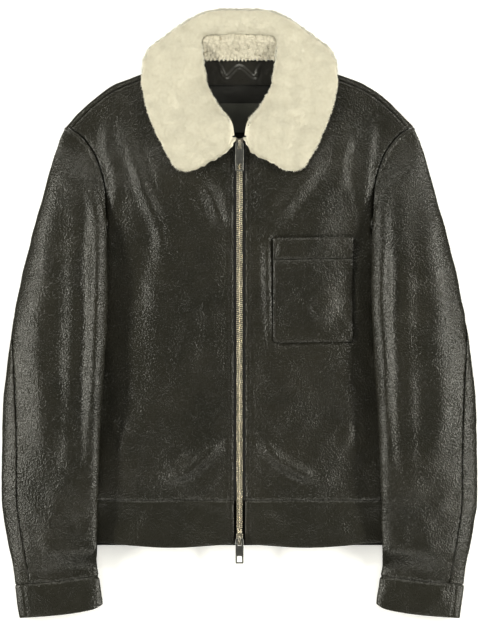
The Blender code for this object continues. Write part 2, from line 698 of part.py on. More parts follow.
def collar_base(out, y):
    """What the collar's under side rests on: the fronts, the inside of the neck or the floor."""
    height = front_height(out, y) + COLLAR_LIFT
    beyond = (y - shoulder_y(np.maximum(out, SHOULDER[0, 0]))) * SHOULDER_SLANT
    floor = height * (1.0 - smooth((beyond - DROP_START) / DROP_REACH))
    neck_out = np.interp(y, NECK[:, 1], NECK[:, 0])
    inside = (neck_out - out) * NECK_SLANT
    drop = NECK_DROP * smooth((inside - NECK_DROP_START) / DROP_REACH)
    neck = np.maximum(np.minimum(height, NECK_LEVEL), height - drop)
    return np.minimum(floor, neck)


def collar_rings(rows, columns):
    """Closed rings from one leaf's end, round the back of the neck, to the other leaf's end."""
    share = np.append(COLLAR_END_ROWS, even(0.085, 1.0, rows))
    end = LEAF_TIP + (1.0 - LEAF_TIP) * smooth(share / LEAF_TIP_SHARE)
    turn = even(0.0, 2.0, columns + 1)[:-1]
    a, d = np.meshgrid(turn, share)
    inward = (1.0 - np.cos(math.pi * a)) / 2.0
    plan = coons(END_LINE, BACK_LINE, INNER_LINE, OUTER_LINE, inward, d)
    out, y = np.maximum(plan[..., 0], 0.0), plan[..., 1]
    thick = LEAF_THICKNESS + (ROLL_THICKNESS - LEAF_THICKNESS) * smooth((y - ROLL_START_Y) / ROLL_REACH)
    thick = thick * end[:, None]
    middle = collar_base(out, y) + thick / 2
    upper = middle + thick / 2 * swelling(inward, LEAF_DOME)
    lower = middle - thick / 2 * swelling(inward, 4.0)
    half = np.stack([out, y, np.where(a <= 1.0, upper, lower)], axis=-1)
    other = half[::-1][1:] * (-1.0, 1.0, 1.0)
    return np.concatenate([half, other])


def plate_piece(name, x_range, y_range, height, thickness, columns, rows, finish_material, group):
    """A sheet over a rectangle of the plan; height(x, y) is its upper face."""
    def surface(across, down):
        x = x_range[0] + (x_range[1] - x_range[0]) * across
        y = y_range[1] + (y_range[0] - y_range[1]) * down
        return np.stack([x, y, np.broadcast_to(height(x, y), x.shape)], axis=-1)
    piece = patch(surface, even(0.0, 1.0, columns), even(0.0, 1.0, rows), 1)
    piece[1][...] = (0.0, 0.0, 1.0)
    return wall(name, [piece], thickness, finish_material, group)


def stand(name, shearling, group):
    """The curly stand behind the neck: a wedge from the roll down to the facing."""
    rings = []
    for y, top, narrower in STAND_SECTIONS:
        width = STAND_HALF_WIDTH - narrower
        upper = [(-width, y, 0.3 * top), (-width, y, 0.7 * top), (STAND_SHOULDER - width, y, top)]
        lower = [(width, y, 0.3 * top), (width - STAND_FOOT, y, 0.0)]
        middle = (0.0, y, top + STAND_CROWN)
        rings.append(upper + [middle] + [(-x, y, z) for x, y, z in upper[:0:-1]] + lower
                     + [(0.0, y, 0.0), (STAND_FOOT - width, y, 0.0)])
    return lofted_solid(name, np.array(rings), shearling, group)


def facing_top(x, y):
    """The facing's upper face, with a pucker on each side of the middle."""
    beside = (np.abs(x) - PUCKER_OUT) / PUCKER_WIDTH
    pucker = PUCKER_HEIGHT * np.exp(-beside ** 2 - ((y - PUCKER_Y) / PUCKER_LENGTH) ** 2)
    return LEATHER + LINING + 3 * GAP + LEATHER + pucker


# ---------------------------------------------------------------- pocket and zip

def pocket_patch(top_y, low_y, corner):
    """Plan of the pocket between two lines, with its lower corners rounded."""
    def surface(across, down, lift):
        across = np.clip(across, 0.0, 1.0)
        down = np.clip(down, 0.0, 1.0)
        drop = (1.0 - down) * (top_y - low_y)
        inset_here = corner - np.sqrt(np.maximum(corner ** 2 - np.clip(corner - drop, 0.0, corner) ** 2, 0.0))
        x = POCKET_INNER + inset_here + (POCKET_OUTER - POCKET_INNER - 2 * inset_here) * across
        y = low_y + drop + POCKET_TILT * (x - (POCKET_INNER + POCKET_OUTER) / 2)
        return np.stack([x, y, front_height(x, y) + lift], axis=-1)
    return surface


def pocket_piece(name, top_y, low_y, corner, thickness, rows, leather, group):
    plan = pocket_patch(top_y, low_y, corner)

    def surface(across, down):
        return plan(across, down, POCKET_LIFT + thickness)
    piece = patch(surface, even(0.0, 1.0, 9), rows, 1, "top bottom")
    return wall(name, [piece], thickness, leather, group)


def zip_strip(name, x_range, y_range, lift, thickness, rows, finish_material, group):
    def height(x, y):
        return front_height(x, y) + lift
    return plate_piece(name, x_range, y_range, height, thickness, 2, rows, finish_material, group)


def flat_outline(name, outlines, thickness):
    """A flat plate with holes, from a 2D curve of straight-sided outlines, as a mesh."""
    data = bpy.data.curves.new(name, "CURVE")
    data.dimensions = "2D"
    data.fill_mode = "BOTH"
    data.extrude = thickness / 2
    for outline in outlines:
        spline = data.splines.new("POLY")
        spline.points.add(len(outline) - 1)
        for point, (x, y) in zip(spline.points, outline):
            point.co = (x, y, 0.0, 1.0)
        spline.use_cyclic_u = True
    drawn = bpy.data.objects.new(name, data)
    bpy.context.scene.collection.objects.link(drawn)
    bpy.context.view_layer.update()
    mesh = bpy.data.meshes.new_from_object(drawn.evaluated_get(bpy.context.evaluated_depsgraph_get()))
    bpy.data.objects.remove(drawn, do_unlink=True)
    return mesh


def rounded_box(x_range, y_range, radius, steps=3):
    """Outline of a rectangle with round corners."""
    outline = []
    left, right = x_range[0] + radius, x_range[1] - radius
    low, high = y_range[0] + radius, y_range[1] - radius
    corners = [(right, high, 0), (left, high, 90), (left, low, 180), (right, low, 270)]
    for x, y, start in corners:
        for step in range(steps + 1):
            angle = math.radians(start + 90 * step / steps)
            outline.append((x + radius * math.cos(angle), y + radius * math.sin(angle)))
    return outline


def mesh_object(name, mesh, group):
    bm = bmesh.new()
    bm.from_mesh(mesh)
    bmesh.ops.remove_doubles(bm, verts=bm.verts, dist=1e-6)
    bmesh.ops.recalc_face_normals(bm, faces=bm.faces)
    bm.to_mesh(mesh)
    bm.free()
    mesh.name = name
    made = bpy.data.objects.new(name, mesh)
    group.objects.link(made)
    return made


def hinge_height(y):
    return float(front_height(0.0, y)) + SLIDER_RISE + EYE_HALF_HEIGHT


def slider(name, hinge_y, metal, group, cutters):
    """A slider body with the arch that its pull hangs from."""
    height = hinge_height(hinge_y)
    floor = float(front_height(0.0, hinge_y)) - SLIDER_FLOOR
    bpy.ops.mesh.primitive_cube_add(size=1.0)
    body = bpy.context.object
    body.name = name
    body.data.name = name
    body.scale = (2 * SLIDER_HALF_WIDTH, SLIDER_LENGTH, SLIDER_FLOOR + SLIDER_RISE)
    body.location = (0.0, hinge_y, floor + (SLIDER_FLOOR + SLIDER_RISE) / 2)
    bpy.ops.object.transform_apply(location=False, rotation=False, scale=True)
    for owner in list(body.users_collection):
        owner.objects.unlink(body)
    group.objects.link(body)
    bevel = body.modifiers.new("rounded", "BEVEL")
    bevel.width = SLIDER_ROUNDING
    bevel.segments = 2
    inner, half_height = EYE_HALF_LENGTH, EYE_HALF_HEIGHT
    outer, top = EYE_HALF_LENGTH + ARCH_METAL, EYE_HALF_HEIGHT + ARCH_METAL
    foot = -half_height - ARCH_ROOT
    arch = [(-outer, foot), (outer, foot), (outer, half_height - EYE_CORNER), (outer - ARCH_CORNER, top),
            (-outer + ARCH_CORNER, top), (-outer, half_height - EYE_CORNER)]
    eye = [(-inner, -half_height), (-inner, half_height - EYE_CORNER), (-inner + EYE_CORNER, half_height),
           (inner - EYE_CORNER, half_height), (inner, half_height - EYE_CORNER), (inner, -half_height)]
    outline = flat_outline(name + "_arch", [arch, eye], 2 * ARCH_HALF_WIDTH)
    loop = mesh_object(name + "_arch", outline, cutters)
    loop.rotation_euler = Euler((math.radians(90), 0.0, math.radians(90)))
    loop.location = (0.0, hinge_y, height)
    loop.hide_render = True
    loop.display_type = "WIRE"
    joined = body.modifiers.new("arch", "BOOLEAN")
    joined.operation = "UNION"
    joined.object = loop
    body.data.materials.append(metal)
    return body


def pull(name, hinge_y, length, metal, group):
    """A flat pull tab with a slot for the arch and a window near its end, on its hinge."""
    end = PULL_BAR - length
    frame = rounded_box((-PULL_HALF_WIDTH, PULL_HALF_WIDTH), (end, PULL_BAR), PULL_CORNER)
    slot = rounded_box((-PULL_SLOT_HALF_WIDTH, PULL_SLOT_HALF_WIDTH), (-PULL_SLOT_END, -PULL_BAR),
                       SLOT_CORNER, 2)
    window = rounded_box((-WINDOW_HALF_WIDTH, WINDOW_HALF_WIDTH),
                         (end + WINDOW_END, end + WINDOW_END + WINDOW_LENGTH), SLOT_CORNER, 2)
    tab = mesh_object(name, flat_outline(name, [frame, slot, window], PULL_THICKNESS), group)
    tab.location = (0.0, hinge_y, hinge_height(hinge_y))
    tab.data.materials.append(metal)
    return tab


# ---------------------------------------------------------------- the jacket

def main():
    clear_scene()
    group = make_collection(NAME)
    cutters = make_collection(NAME + "_cutters")
    leather = material("leather", (0.012, 0.011, 0.009), 0.45)
    shearling = material("shearling", (0.80, 0.73, 0.58), 0.95)
    lining = material("lining", (0.010, 0.010, 0.011), 0.50)
    brass = material("zip_metal", (0.62, 0.55, 0.40), 0.30, 1.0)
    dark_metal = material("dark_metal", (0.14, 0.14, 0.14), 0.35, 1.0)

    back("back_panel", leather, group)
    hem_back("hem_band_back", leather, group)
    for side, label in ((1, "left"), (-1, "right")):
        front("front_" + label, side, leather, group)
        hem_front("hem_band_front_" + label, side, leather, group)
        sleeve(side, label, leather, group)
        cuff(side, label, leather, group)

    lofted_solid("collar", collar_rings(30, 16), shearling, group)
    stand("collar_stand", shearling, group)
    lining_top = LEATHER + GAP + LINING
    plate_piece("back_lining", (-LINING_HALF_WIDTH, LINING_HALF_WIDTH), (LINING_LOW_Y, LINING_HIGH_Y),
                lambda x, y: lining_top, LINING, 2, 2, lining, group)
    plate_piece("back_neck_facing", (-FACING_HALF_WIDTH, FACING_HALF_WIDTH), (FACING_LOW_Y, FACING_HIGH_Y),
                facing_top, LEATHER, 17, 7, leather, group)
    plate_piece("label", (-LABEL_HALF_WIDTH, LABEL_HALF_WIDTH), (LABEL_LOW_Y, LABEL_HIGH_Y),
                lambda x, y: lining_top + GAP + LABEL, LABEL, 2, 2, lining, group)

    pocket_length = POCKET_BAND_Y - SEAM_GAP - POCKET_LOW_Y
    corner_rows = [1.0 - rise / pocket_length for rise in POCKET_CORNER_ROWS]
    pocket_piece("chest_pocket", POCKET_BAND_Y - SEAM_GAP, POCKET_LOW_Y, POCKET_CORNER, POCKET_WALL,
                 np.append(even(0.0, 0.9, 7), corner_rows), leather, group)
    pocket_piece("pocket_band", POCKET_TOP_Y, POCKET_BAND_Y, 1e-5, POCKET_BAND_WALL, even(0.0, 1.0, 4),
                 leather, group)

    slider_half = SLIDER_LENGTH / 2 + GAP
    chain_low, chain_high = HINGE_BOTTOM_Y + slider_half, HINGE_TOP_Y - slider_half
    tape_lift = -LEATHER - TAPE_DROP
    for side, label in ((1, "left"), (-1, "right")):
        x_range = (SEAM_GAP, TAPE_HALF_WIDTH) if side > 0 else (-TAPE_HALF_WIDTH, -SEAM_GAP)
        zip_strip("zip_tape_" + label, x_range, (WAIST_SEAM_Y, TAPE_HIGH_Y), tape_lift, TAPE, 24,
                  lining, group)
    zip_strip("zip_chain", (-CHAIN_HALF_WIDTH, CHAIN_HALF_WIDTH), (chain_low, chain_high),
              CHAIN_THICKNESS - LEATHER, CHAIN_THICKNESS, 30, brass, group)
    slider("slider_top", HINGE_TOP_Y, dark_metal, group, cutters)
    slider("slider_bottom", HINGE_BOTTOM_Y, dark_metal, group, cutters)
    pull("pull_top", HINGE_TOP_Y, PULL_TOP_LENGTH, dark_metal, group)
    pull("pull_bottom", HINGE_BOTTOM_Y, PULL_BOTTOM_LENGTH, dark_metal, group)


main()
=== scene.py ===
"""Looks of a zipped leather jacket with a shearling collar, laid flat on its back.

Metres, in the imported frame: +Z up, +Y toward the collar, +X toward the wearer's left. The outer
faces come from the same plan tables as the solids, and carry finer relief: seams, puckers,
creases and stitches. Plan tables give (out, y): the distance from the centre line and the place
along the body.
"""
import math
from collections import namedtuple

import bmesh
import bpy
import numpy as np
from mathutils import Matrix, Vector
from mathutils.bvhtree import BVHTree
from mathutils.kdtree import KDTree


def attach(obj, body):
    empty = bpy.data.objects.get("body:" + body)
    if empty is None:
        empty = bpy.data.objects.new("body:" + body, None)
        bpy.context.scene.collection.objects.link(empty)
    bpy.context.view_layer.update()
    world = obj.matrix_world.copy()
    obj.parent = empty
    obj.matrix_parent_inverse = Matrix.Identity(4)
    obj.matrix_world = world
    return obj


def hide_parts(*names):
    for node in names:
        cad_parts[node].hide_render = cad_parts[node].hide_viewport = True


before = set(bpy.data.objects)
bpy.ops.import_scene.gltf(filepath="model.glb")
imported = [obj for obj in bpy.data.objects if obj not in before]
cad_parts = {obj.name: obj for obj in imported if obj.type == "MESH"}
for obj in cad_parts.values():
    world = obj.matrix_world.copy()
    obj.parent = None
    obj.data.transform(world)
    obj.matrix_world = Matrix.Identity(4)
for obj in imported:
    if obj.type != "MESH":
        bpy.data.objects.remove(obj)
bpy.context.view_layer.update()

# The photograph's frame: one pixel is this long, and this pixel is the jacket's own origin
PIXEL = 0.00135
CENTRE_PIXEL = (239.5, 313.25)
PICTURE = (480, 641)

# ---------------------------------------------------------------- the solids' named sizes

SEAM_GAP = 0.0004
ARMHOLE_GAP = 0.0006
LEATHER = 0.0020
BAND = 0.0030
LINING = 0.0012
LABEL = 0.0008
TAPE = 0.0008
GAP = 0.0003
RIM_RADIUS = 0.0070
RIM_HEIGHT = 2 * RIM_RADIUS
BODY_HALF_WIDTH = 0.2470
SHOULDER_HALF_WIDTH = 0.2338
UNDERARM_Y = 0.0200
SHOULDER_TIP_Y = 0.2520
SIDE_FALL = 2.6
SHOULDER_SLOPE = 0.1300
NECK_RISE = 0.60
ZIP_EDGE = 0.0080
WAIST_SEAM_Y = -0.2522
HEM_Y = -0.3125
VALLEY_DEPTH = 0.0035
VALLEY_WIDTH = 0.0280
CROWN = [(-0.3200, 0.0245), (-0.2520, 0.0290), (-0.1500, 0.0350), (0.0300, 0.0400), (0.3400, 0.0370)]

SHOULDER_EDGE = [(0.0880, 0.3380), (0.1346, 0.3216), (0.1725, 0.3062), (0.2036, 0.2830), (0.2338, 0.2520)]
NECKLINE = [(0.0080, 0.2280), (0.0300, 0.2550), (0.0580, 0.2850), (0.0800, 0.3200), (0.0857, 0.3311)]
ARMHOLE = [(0.2338, 0.2520), (0.2159, 0.2409), (0.1991, 0.2204), (0.1890, 0.1974), (0.1829, 0.1745),
           (0.1806, 0.1542), (0.1786, 0.1117)]
LOWER_ARMHOLE = [(0.1786, 0.1117), (0.1860, 0.0720), (0.2050, 0.0430), (0.2250, 0.0260), (0.2400, 0.0200)]
UNDERARM_BEND = [(0.2465, 0.0340), (0.2405, 0.0235), (0.2300, 0.0235)]
SLEEVE_EDGE = [(0.2338, 0.2520), (0.2444, 0.2285), (0.2545, 0.1961), (0.2673, 0.1475), (0.2855, 0.0827),
               (0.3004, 0.0179), (0.3105, -0.0469), (0.3179, -0.1117), (0.3198, -0.1750), (0.3206, -0.2490),
               (0.3180, -0.2737), (0.3125, -0.3061), (0.3058, -0.3385), (0.3020, -0.3650)]
INNER_FOLD = [(0.1786, 0.1117), (0.1775, 0.0179), (0.1829, -0.0901), (0.1870, -0.1440), (0.1900, -0.2250),
              (0.1921, -0.3128), (0.1926, -0.3385), (0.1900, -0.3543)]
CUFF_SEAM = [(0.3020, -0.3650), (0.2533, -0.3620), (0.2144, -0.3570), (0.1900, -0.3543)]
CUFF_MOUTH = [(0.2963, -0.4107), (0.2396, -0.4060), (0.1999, -0.3992), (0.1850, -0.3920)]
HEM_LINE = [(0.0080, -0.3108), (0.0965, -0.3156), (0.1924, -0.3088), (0.2400, -0.3080)]
COLLAR_END = [(0.0065, 0.2385), (0.0140, 0.2245), (0.0263, 0.2136), (0.0466, 0.2028), (0.0640, 0.1915),
              (0.0740, 0.1893)]
COLLAR_INNER = [(0.0065, 0.2385), (0.0105, 0.2582), (0.0263, 0.2784), (0.0420, 0.3081), (0.0455, 0.3257),
                (0.0493, 0.3450), (0.0490, 0.3640), (0.0430, 0.3735), (0.0200, 0.3743), (0.0000, 0.3743)]
COLLAR_OUTER = [(0.0740, 0.1893), (0.0850, 0.1925), (0.0979, 0.2123), (0.1067, 0.2285), (0.1140, 0.2447),
                (0.1208, 0.2609), (0.1262, 0.2770), (0.1296, 0.2933), (0.1330, 0.3095), (0.1316, 0.3257),
                (0.1303, 0.3419), (0.1220, 0.3580), (0.1010, 0.3743), (0.0790, 0.3905), (0.0506, 0.4060),
                (0.0280, 0.4107), (0.0000, 0.4107)]
COLLAR_BACK = [(0.0, 0.3743), (0.0, 0.4107)]

Fold = namedtuple("Fold", "out_from y_from out_to y_to height width")
FOLDS = [
    Fold(0.1789, 0.2650, 0.1667, 0.1960, 0.0022, 0.0090),
    Fold(0.1667, 0.2600, 0.1249, 0.1583, 0.0026, 0.0130),
    Fold(0.1249, 0.1583, 0.0965, 0.0908, 0.0022, 0.0160),
    Fold(0.1160, 0.0600, 0.1020, -0.0400, 0.0020, 0.0200),
    Fold(0.1006, -0.2238, 0.0263, -0.1750, 0.0028, 0.0110),
    Fold(0.1600, -0.1536, 0.1478, -0.1870, 0.0018, 0.0100),
]
Ring = namedtuple("Ring", "share edge fold swell")
SLEEVE_RINGS = [
    Ring(0.00, 0.0070, 0.0048, 0.0060),
    Ring(0.10, 0.0110, 0.0090, 0.0150),
    Ring(0.25, 0.0140, 0.0110, 0.0230),
    Ring(0.50, 0.0150, 0.0115, 0.0240),
    Ring(0.75, 0.0140, 0.0105, 0.0210),
    Ring(0.92, 0.0125, 0.0105, 0.0150),
    Ring(1.00, 0.0120, 0.0115, 0.0115),
]
WELT = 0.0015
HEAD_SHARE = 0.10
SIDE_REACH = 0.0300
SLEEVE_LIFT = 0.0014
FOLD_RAISE = 0.0062
HEAD_SPREAD = 0.0180
HIND_SEAM = [(0.00, -0.14), (0.30, -0.10), (0.43, 0.00), (0.60, 0.20), (1.00, 0.27)]
FORE_SEAM = [(0.00, 1.17), (0.30, 1.22), (1.00, 1.25)]
SEAM_TURN = 0.0060
CUFF_SWELL = 0.0115
CUFF_PROUD = 0.0008
LEAF_THICKNESS = 0.0130
ROLL_THICKNESS = 0.0260
NECK_LEVEL = 0.0085
NECK_DROP = 0.0120
COLLAR_LIFT = 0.0010
STAND_HALF_WIDTH = 0.0460
STAND_LOW_Y = 0.3424
STAND_HIGH_Y = 0.3725
FACING_LOW_Y = 0.3083
LINING_LOW_Y = 0.2000
LABEL_HALF_WIDTH = 0.0300
LABEL_HIGH_Y = 0.2828
LABEL_LOW_Y = 0.2440
POCKET_INNER = 0.0456
POCKET_OUTER = 0.1532
POCKET_TOP_Y = 0.1018
POCKET_BAND_Y = 0.0735
POCKET_LOW_Y = -0.0390
POCKET_TILT = 0.0130
POCKET_CORNER = 0.0065
POCKET_WALL = 0.0018
POCKET_LIFT = 0.0008
POCKET_BAND_WALL = 0.0026
HINGE_TOP_Y = 0.2285
HINGE_BOTTOM_Y = -0.3045
SLIDER_RISE = 0.0032
EYE_HALF_HEIGHT = 0.0018


# ---------------------------------------------------------------- plan curves and heights

def smooth(share):
    share = np.clip(share, 0.0, 1.0)
    return share * share * (3.0 - 2.0 * share)


def curve(points, steps=16):
    """A smooth line through the points, as a dense array."""
    knots = np.array(points, float)
    padded = np.vstack([2 * knots[0] - knots[1], knots, 2 * knots[-1] - knots[-2]])
    step = np.linspace(0.0, 1.0, steps, endpoint=False)[:, None]
    spans = []
    for before, start, end, after in zip(padded, padded[1:], padded[2:], padded[3:]):
        spans.append(0.5 * (2 * start + (end - before) * step
                            + (2 * before - 5 * start + 4 * end - after) * step ** 2
                            + (3 * start - before - 3 * end + after) * step ** 3))
    return np.vstack(spans + [knots[-1:]])


def lengths(line):
    return np.concatenate([[0.0], np.cumsum(np.linalg.norm(np.diff(line, axis=0), axis=1))])


def along(line, share):
    """Points at these shares of the line's length."""
    run = lengths(line)
    place = np.asarray(share) * run[-1]
    return np.stack([np.interp(place, run, line[:, k]) for k in range(line.shape[1])], axis=-1)


def reading(line, at):
    """The second column of a dense line where its first has these values."""
    return np.interp(at, line[:, 0], line[:, 1])


def unit(vectors):
    return vectors / np.maximum(np.linalg.norm(vectors, axis=1), 1e-12)[:, None]


def table(rows, value, column=1):
    rows = sorted(rows)
    return np.interp(value, [row[0] for row in rows], [row[column] for row in rows])


def inset(line, distance):
    """The line moved to its right-hand side, as one walks along it."""
    heading = unit(np.gradient(line, axis=0))
    return line + distance * np.stack([heading[:, 1], -heading[:, 0]], axis=1)


def coons(top, bottom, near, far, across, down):
    """A plan patch between four lines: top and bottom run across, near and far run down."""
    a = np.asarray(across)[..., None]
    d = np.asarray(down)[..., None]
    ruled = ((1 - d) * along(top, across) + d * along(bottom, across)
             + (1 - a) * along(near, down) + a * along(far, down))
    corners = ((1 - a) * (1 - d) * top[0] + a * (1 - d) * top[-1]
               + (1 - a) * d * bottom[0] + a * d * bottom[-1])
    return ruled - corners


def half_width(y):
    share = np.clip((y - UNDERARM_Y) / (SHOULDER_TIP_Y - UNDERARM_Y), 0.0, 1.0)
    return BODY_HALF_WIDTH + share * (SHOULDER_HALF_WIDTH - BODY_HALF_WIDTH)


SHOULDER = curve(SHOULDER_EDGE)


def shoulder_y(out):
    return reading(SHOULDER, out)


def fold_height(out, y):
    height = 0.0
    for fold in FOLDS:
        start = np.array([fold.out_from, fold.y_from])
        run = np.array([fold.out_to, fold.y_to]) - start
        share = ((out - start[0]) * run[0] + (y - start[1]) * run[1]) / (run @ run)
        side = ((out - start[0]) * run[1] - (y - start[1]) * run[0]) / math.sqrt(run @ run)
        taper = smooth(share / 0.35 + 0.4) * smooth((1.0 - share) / 0.35 + 0.4)
        height = height + fold.height * taper * np.exp(-(side / fold.width) ** 2)
    return height


def front_height(out, y):
    """Height of the front's outer face, from the zip to the top of the side rim."""
    out = np.abs(out)
    reach = half_width(y) - RIM_RADIUS
    fall = 1.0 - np.clip(out / reach, 0.0, 1.0) ** SIDE_FALL
    below = (shoulder_y(out) - y) * 0.8 - RIM_RADIUS + NECK_RISE * np.maximum(SHOULDER[0, 0] - out, 0.0)
    rise = smooth(below / SHOULDER_SLOPE)
    valley = VALLEY_DEPTH * np.exp(-(out / VALLEY_WIDTH) ** 2)
    crown = table(CROWN, y) - RIM_HEIGHT
    return RIM_HEIGHT + (crown * fall - valley + fold_height(out, y) * fall) * rise


def lifted(plan, height):
    return np.concatenate([plan, np.broadcast_to(height, plan.shape[:-1])[..., None]], axis=-1)


def on_front(plan):
    return lifted(plan, front_height(plan[..., 0], plan[..., 1]))


def mirrored(surface, side):
    """The same surface on one half of the jacket, side being 1 for the wearer's left."""
    def placed(across, down):
        points = surface(across, down)
        return np.stack([side * points[..., 0], points[..., 1], points[..., 2]], axis=-1)
    return placed


# ---------------------------------------------------------------- outer faces of the pieces

def mitred(line, end):
    weight = smooth((np.linspace(0.0, 1.0, len(line)) - 0.75) / 0.25)[:, None]
    return line + weight * (end - line[-1])


ARMHOLE_LINE = curve(ARMHOLE)
ARMHOLE_RUN = lengths(ARMHOLE_LINE)


def on_armhole(distance):
    return along(ARMHOLE_LINE, distance / ARMHOLE_RUN[-1])


FORWARD_SEAM = mitred(inset(SHOULDER, RIM_RADIUS + ARMHOLE_GAP),
                      on_armhole(RIM_RADIUS + SEAM_GAP) + ARMHOLE_GAP * np.array([-0.5, 0.8]))
FRONT_TOP = np.vstack([curve(NECKLINE)[:-1], FORWARD_SEAM])
FRONT_ARMHOLE = np.vstack([FORWARD_SEAM[-1:], inset(ARMHOLE_LINE, SEAM_GAP)[ARMHOLE_RUN > RIM_RADIUS + 0.0040],
                           curve(LOWER_ARMHOLE)[1:]])
SIDE_TOP = np.array([(BODY_HALF_WIDTH - RIM_RADIUS, UNDERARM_Y), (BODY_HALF_WIDTH - RIM_RADIUS, WAIST_SEAM_Y)])
FRONT_SIDE = np.vstack([FRONT_ARMHOLE, SIDE_TOP[1:]])
FRONT_CENTRE = np.array([(ZIP_EDGE, NECKLINE[0][1]), (ZIP_EDGE, WAIST_SEAM_Y)])
FRONT_LOW = np.array([FRONT_CENTRE[1], SIDE_TOP[1]])
SIDE_SHARE = lengths(FRONT_ARMHOLE)[-1] / lengths(FRONT_SIDE)[-1]
NECK_SHARE = lengths(curve(NECKLINE))[-1] / lengths(FRONT_TOP)[-1]


def front_surface(across, down):
    return on_front(coons(FRONT_TOP, FRONT_LOW, FRONT_CENTRE, FRONT_SIDE, across, down))


def rim_strip(edge, low):
    """The rounded side below an edge line: across 0 is its top, 1 its foot at height low."""
    straight = RIM_RADIUS - low
    whole = RIM_RADIUS * math.pi / 2 + straight

    def surface(across, down):
        plan = along(edge, down)
        run = across * whole
        angle = np.clip(run / RIM_RADIUS, 0.0, math.pi / 2)
        drop = np.clip(run - RIM_RADIUS * math.pi / 2, 0.0, straight)
        top = front_height(plan[..., 0], plan[..., 1]) - RIM_HEIGHT
        out = plan[..., 0] + RIM_RADIUS * np.sin(angle)
        height = RIM_RADIUS + RIM_RADIUS * np.cos(angle) - drop + top * (1.0 - across)
        return np.stack([out, plan[..., 1], height], axis=-1)
    return surface


HEM_FRONT_LOW = curve(HEM_LINE)
HEM_SIDE = np.array([(BODY_HALF_WIDTH - RIM_RADIUS, WAIST_SEAM_Y - SEAM_GAP), tuple(HEM_FRONT_LOW[-1])])
HEM_CENTRE = np.array([(ZIP_EDGE, WAIST_SEAM_Y - SEAM_GAP), tuple(HEM_FRONT_LOW[0])])
HEM_TOP = np.array([HEM_CENTRE[0], HEM_SIDE[0]])


def hem_surface(across, down):
    return on_front(coons(HEM_TOP, HEM_FRONT_LOW, HEM_CENTRE, HEM_SIDE, across, down))


BACK_NECK = [(0.0, 0.3370), (0.0600, 0.3360)]
RIM_FOOT = mitred(inset(SHOULDER, RIM_RADIUS), on_armhole(RIM_RADIUS))
BACK_TOP = np.vstack([np.array(BACK_NECK), RIM_FOOT])
BACK_SIDE = np.array([tuple(RIM_FOOT[-1]), (BODY_HALF_WIDTH, UNDERARM_Y), (BODY_HALF_WIDTH, WAIST_SEAM_Y)])
BACK_CENTRE = np.array([(0.0, BACK_NECK[0][1]), (0.0, WAIST_SEAM_Y)])
BACK_LOW = np.array([(0.0, WAIST_SEAM_Y), (BODY_HALF_WIDTH, WAIST_SEAM_Y)])
RIM_START = lengths(np.vstack([np.array(BACK_NECK), RIM_FOOT[:1]]))[-1] / lengths(BACK_TOP)[-1]


def back_surface(across, down):
    return lifted(coons(BACK_TOP, BACK_LOW, BACK_CENTRE, BACK_SIDE, across, down), 0.0)


def shoulder_rim(across, turn):
    """The back's wrap over the shoulder: turn 0 lies on the floor, 1 is the forward seam."""
    foot = along(RIM_FOOT, across)
    edge = along(SHOULDER, across)
    angle = (turn - 0.5) * math.pi
    plan = foot + (edge - foot) * np.cos(angle)[..., None]
    return lifted(plan, RIM_RADIUS + RIM_RADIUS * np.sin(angle))


def hem_back_surface(across, down):
    top = WAIST_SEAM_Y - SEAM_GAP
    x = (2.0 * across - 1.0) * BODY_HALF_WIDTH
    return np.stack([x, top + (HEM_Y - top) * down, 0.0 * x], axis=-1)


TIP_FOOT = RIM_FOOT[-1]
UPPER_SEAM = inset(ARMHOLE_LINE, -ARMHOLE_GAP)
UNDERARM_TURN = curve([(half_width(0.0520) + SEAM_GAP, 0.0520)] + UNDERARM_BEND + LOWER_ARMHOLE[::-1][1:-1]
                      + [tuple(UPPER_SEAM[-1])])
UNDER_SEAM = np.vstack([UPPER_SEAM[:1], (TIP_FOOT[0] + SEAM_GAP, TIP_FOOT[1] - SEAM_GAP), UNDERARM_TURN])
OUTER_RAIL = np.vstack([UPPER_SEAM[:1], curve(SLEEVE_EDGE)[1:]])
INNER_RAIL = np.vstack([UPPER_SEAM[-1:], curve(INNER_FOLD)[1:]])
CUFF_TOP = curve(CUFF_SEAM)


RING_CURVES = {column: curve([(ring[0], ring[column]) for ring in SLEEVE_RINGS]) for column in (1, 2, 3)}


def ring_value(share, column):
    return reading(RING_CURVES[column], share)


def body_lift(out, y):
    """Lowest height the sleeve's under side may have: over the front, down the rim, on the floor."""
    above = smooth((y - UNDERARM_Y) / 0.040)
    foot = half_width(y) + SIDE_REACH * (1.0 - above) + SEAM_GAP
    over = smooth((foot - out) / (SIDE_REACH + 0.0040))
    past_hem = smooth((y + 0.3450) / 0.0290)
    return over * past_hem * (front_height(out, y) + SLEEVE_LIFT)


def swelling(share, power):
    return (1.0 - np.abs(2.0 * share - 1.0) ** power) ** (1.0 / power)


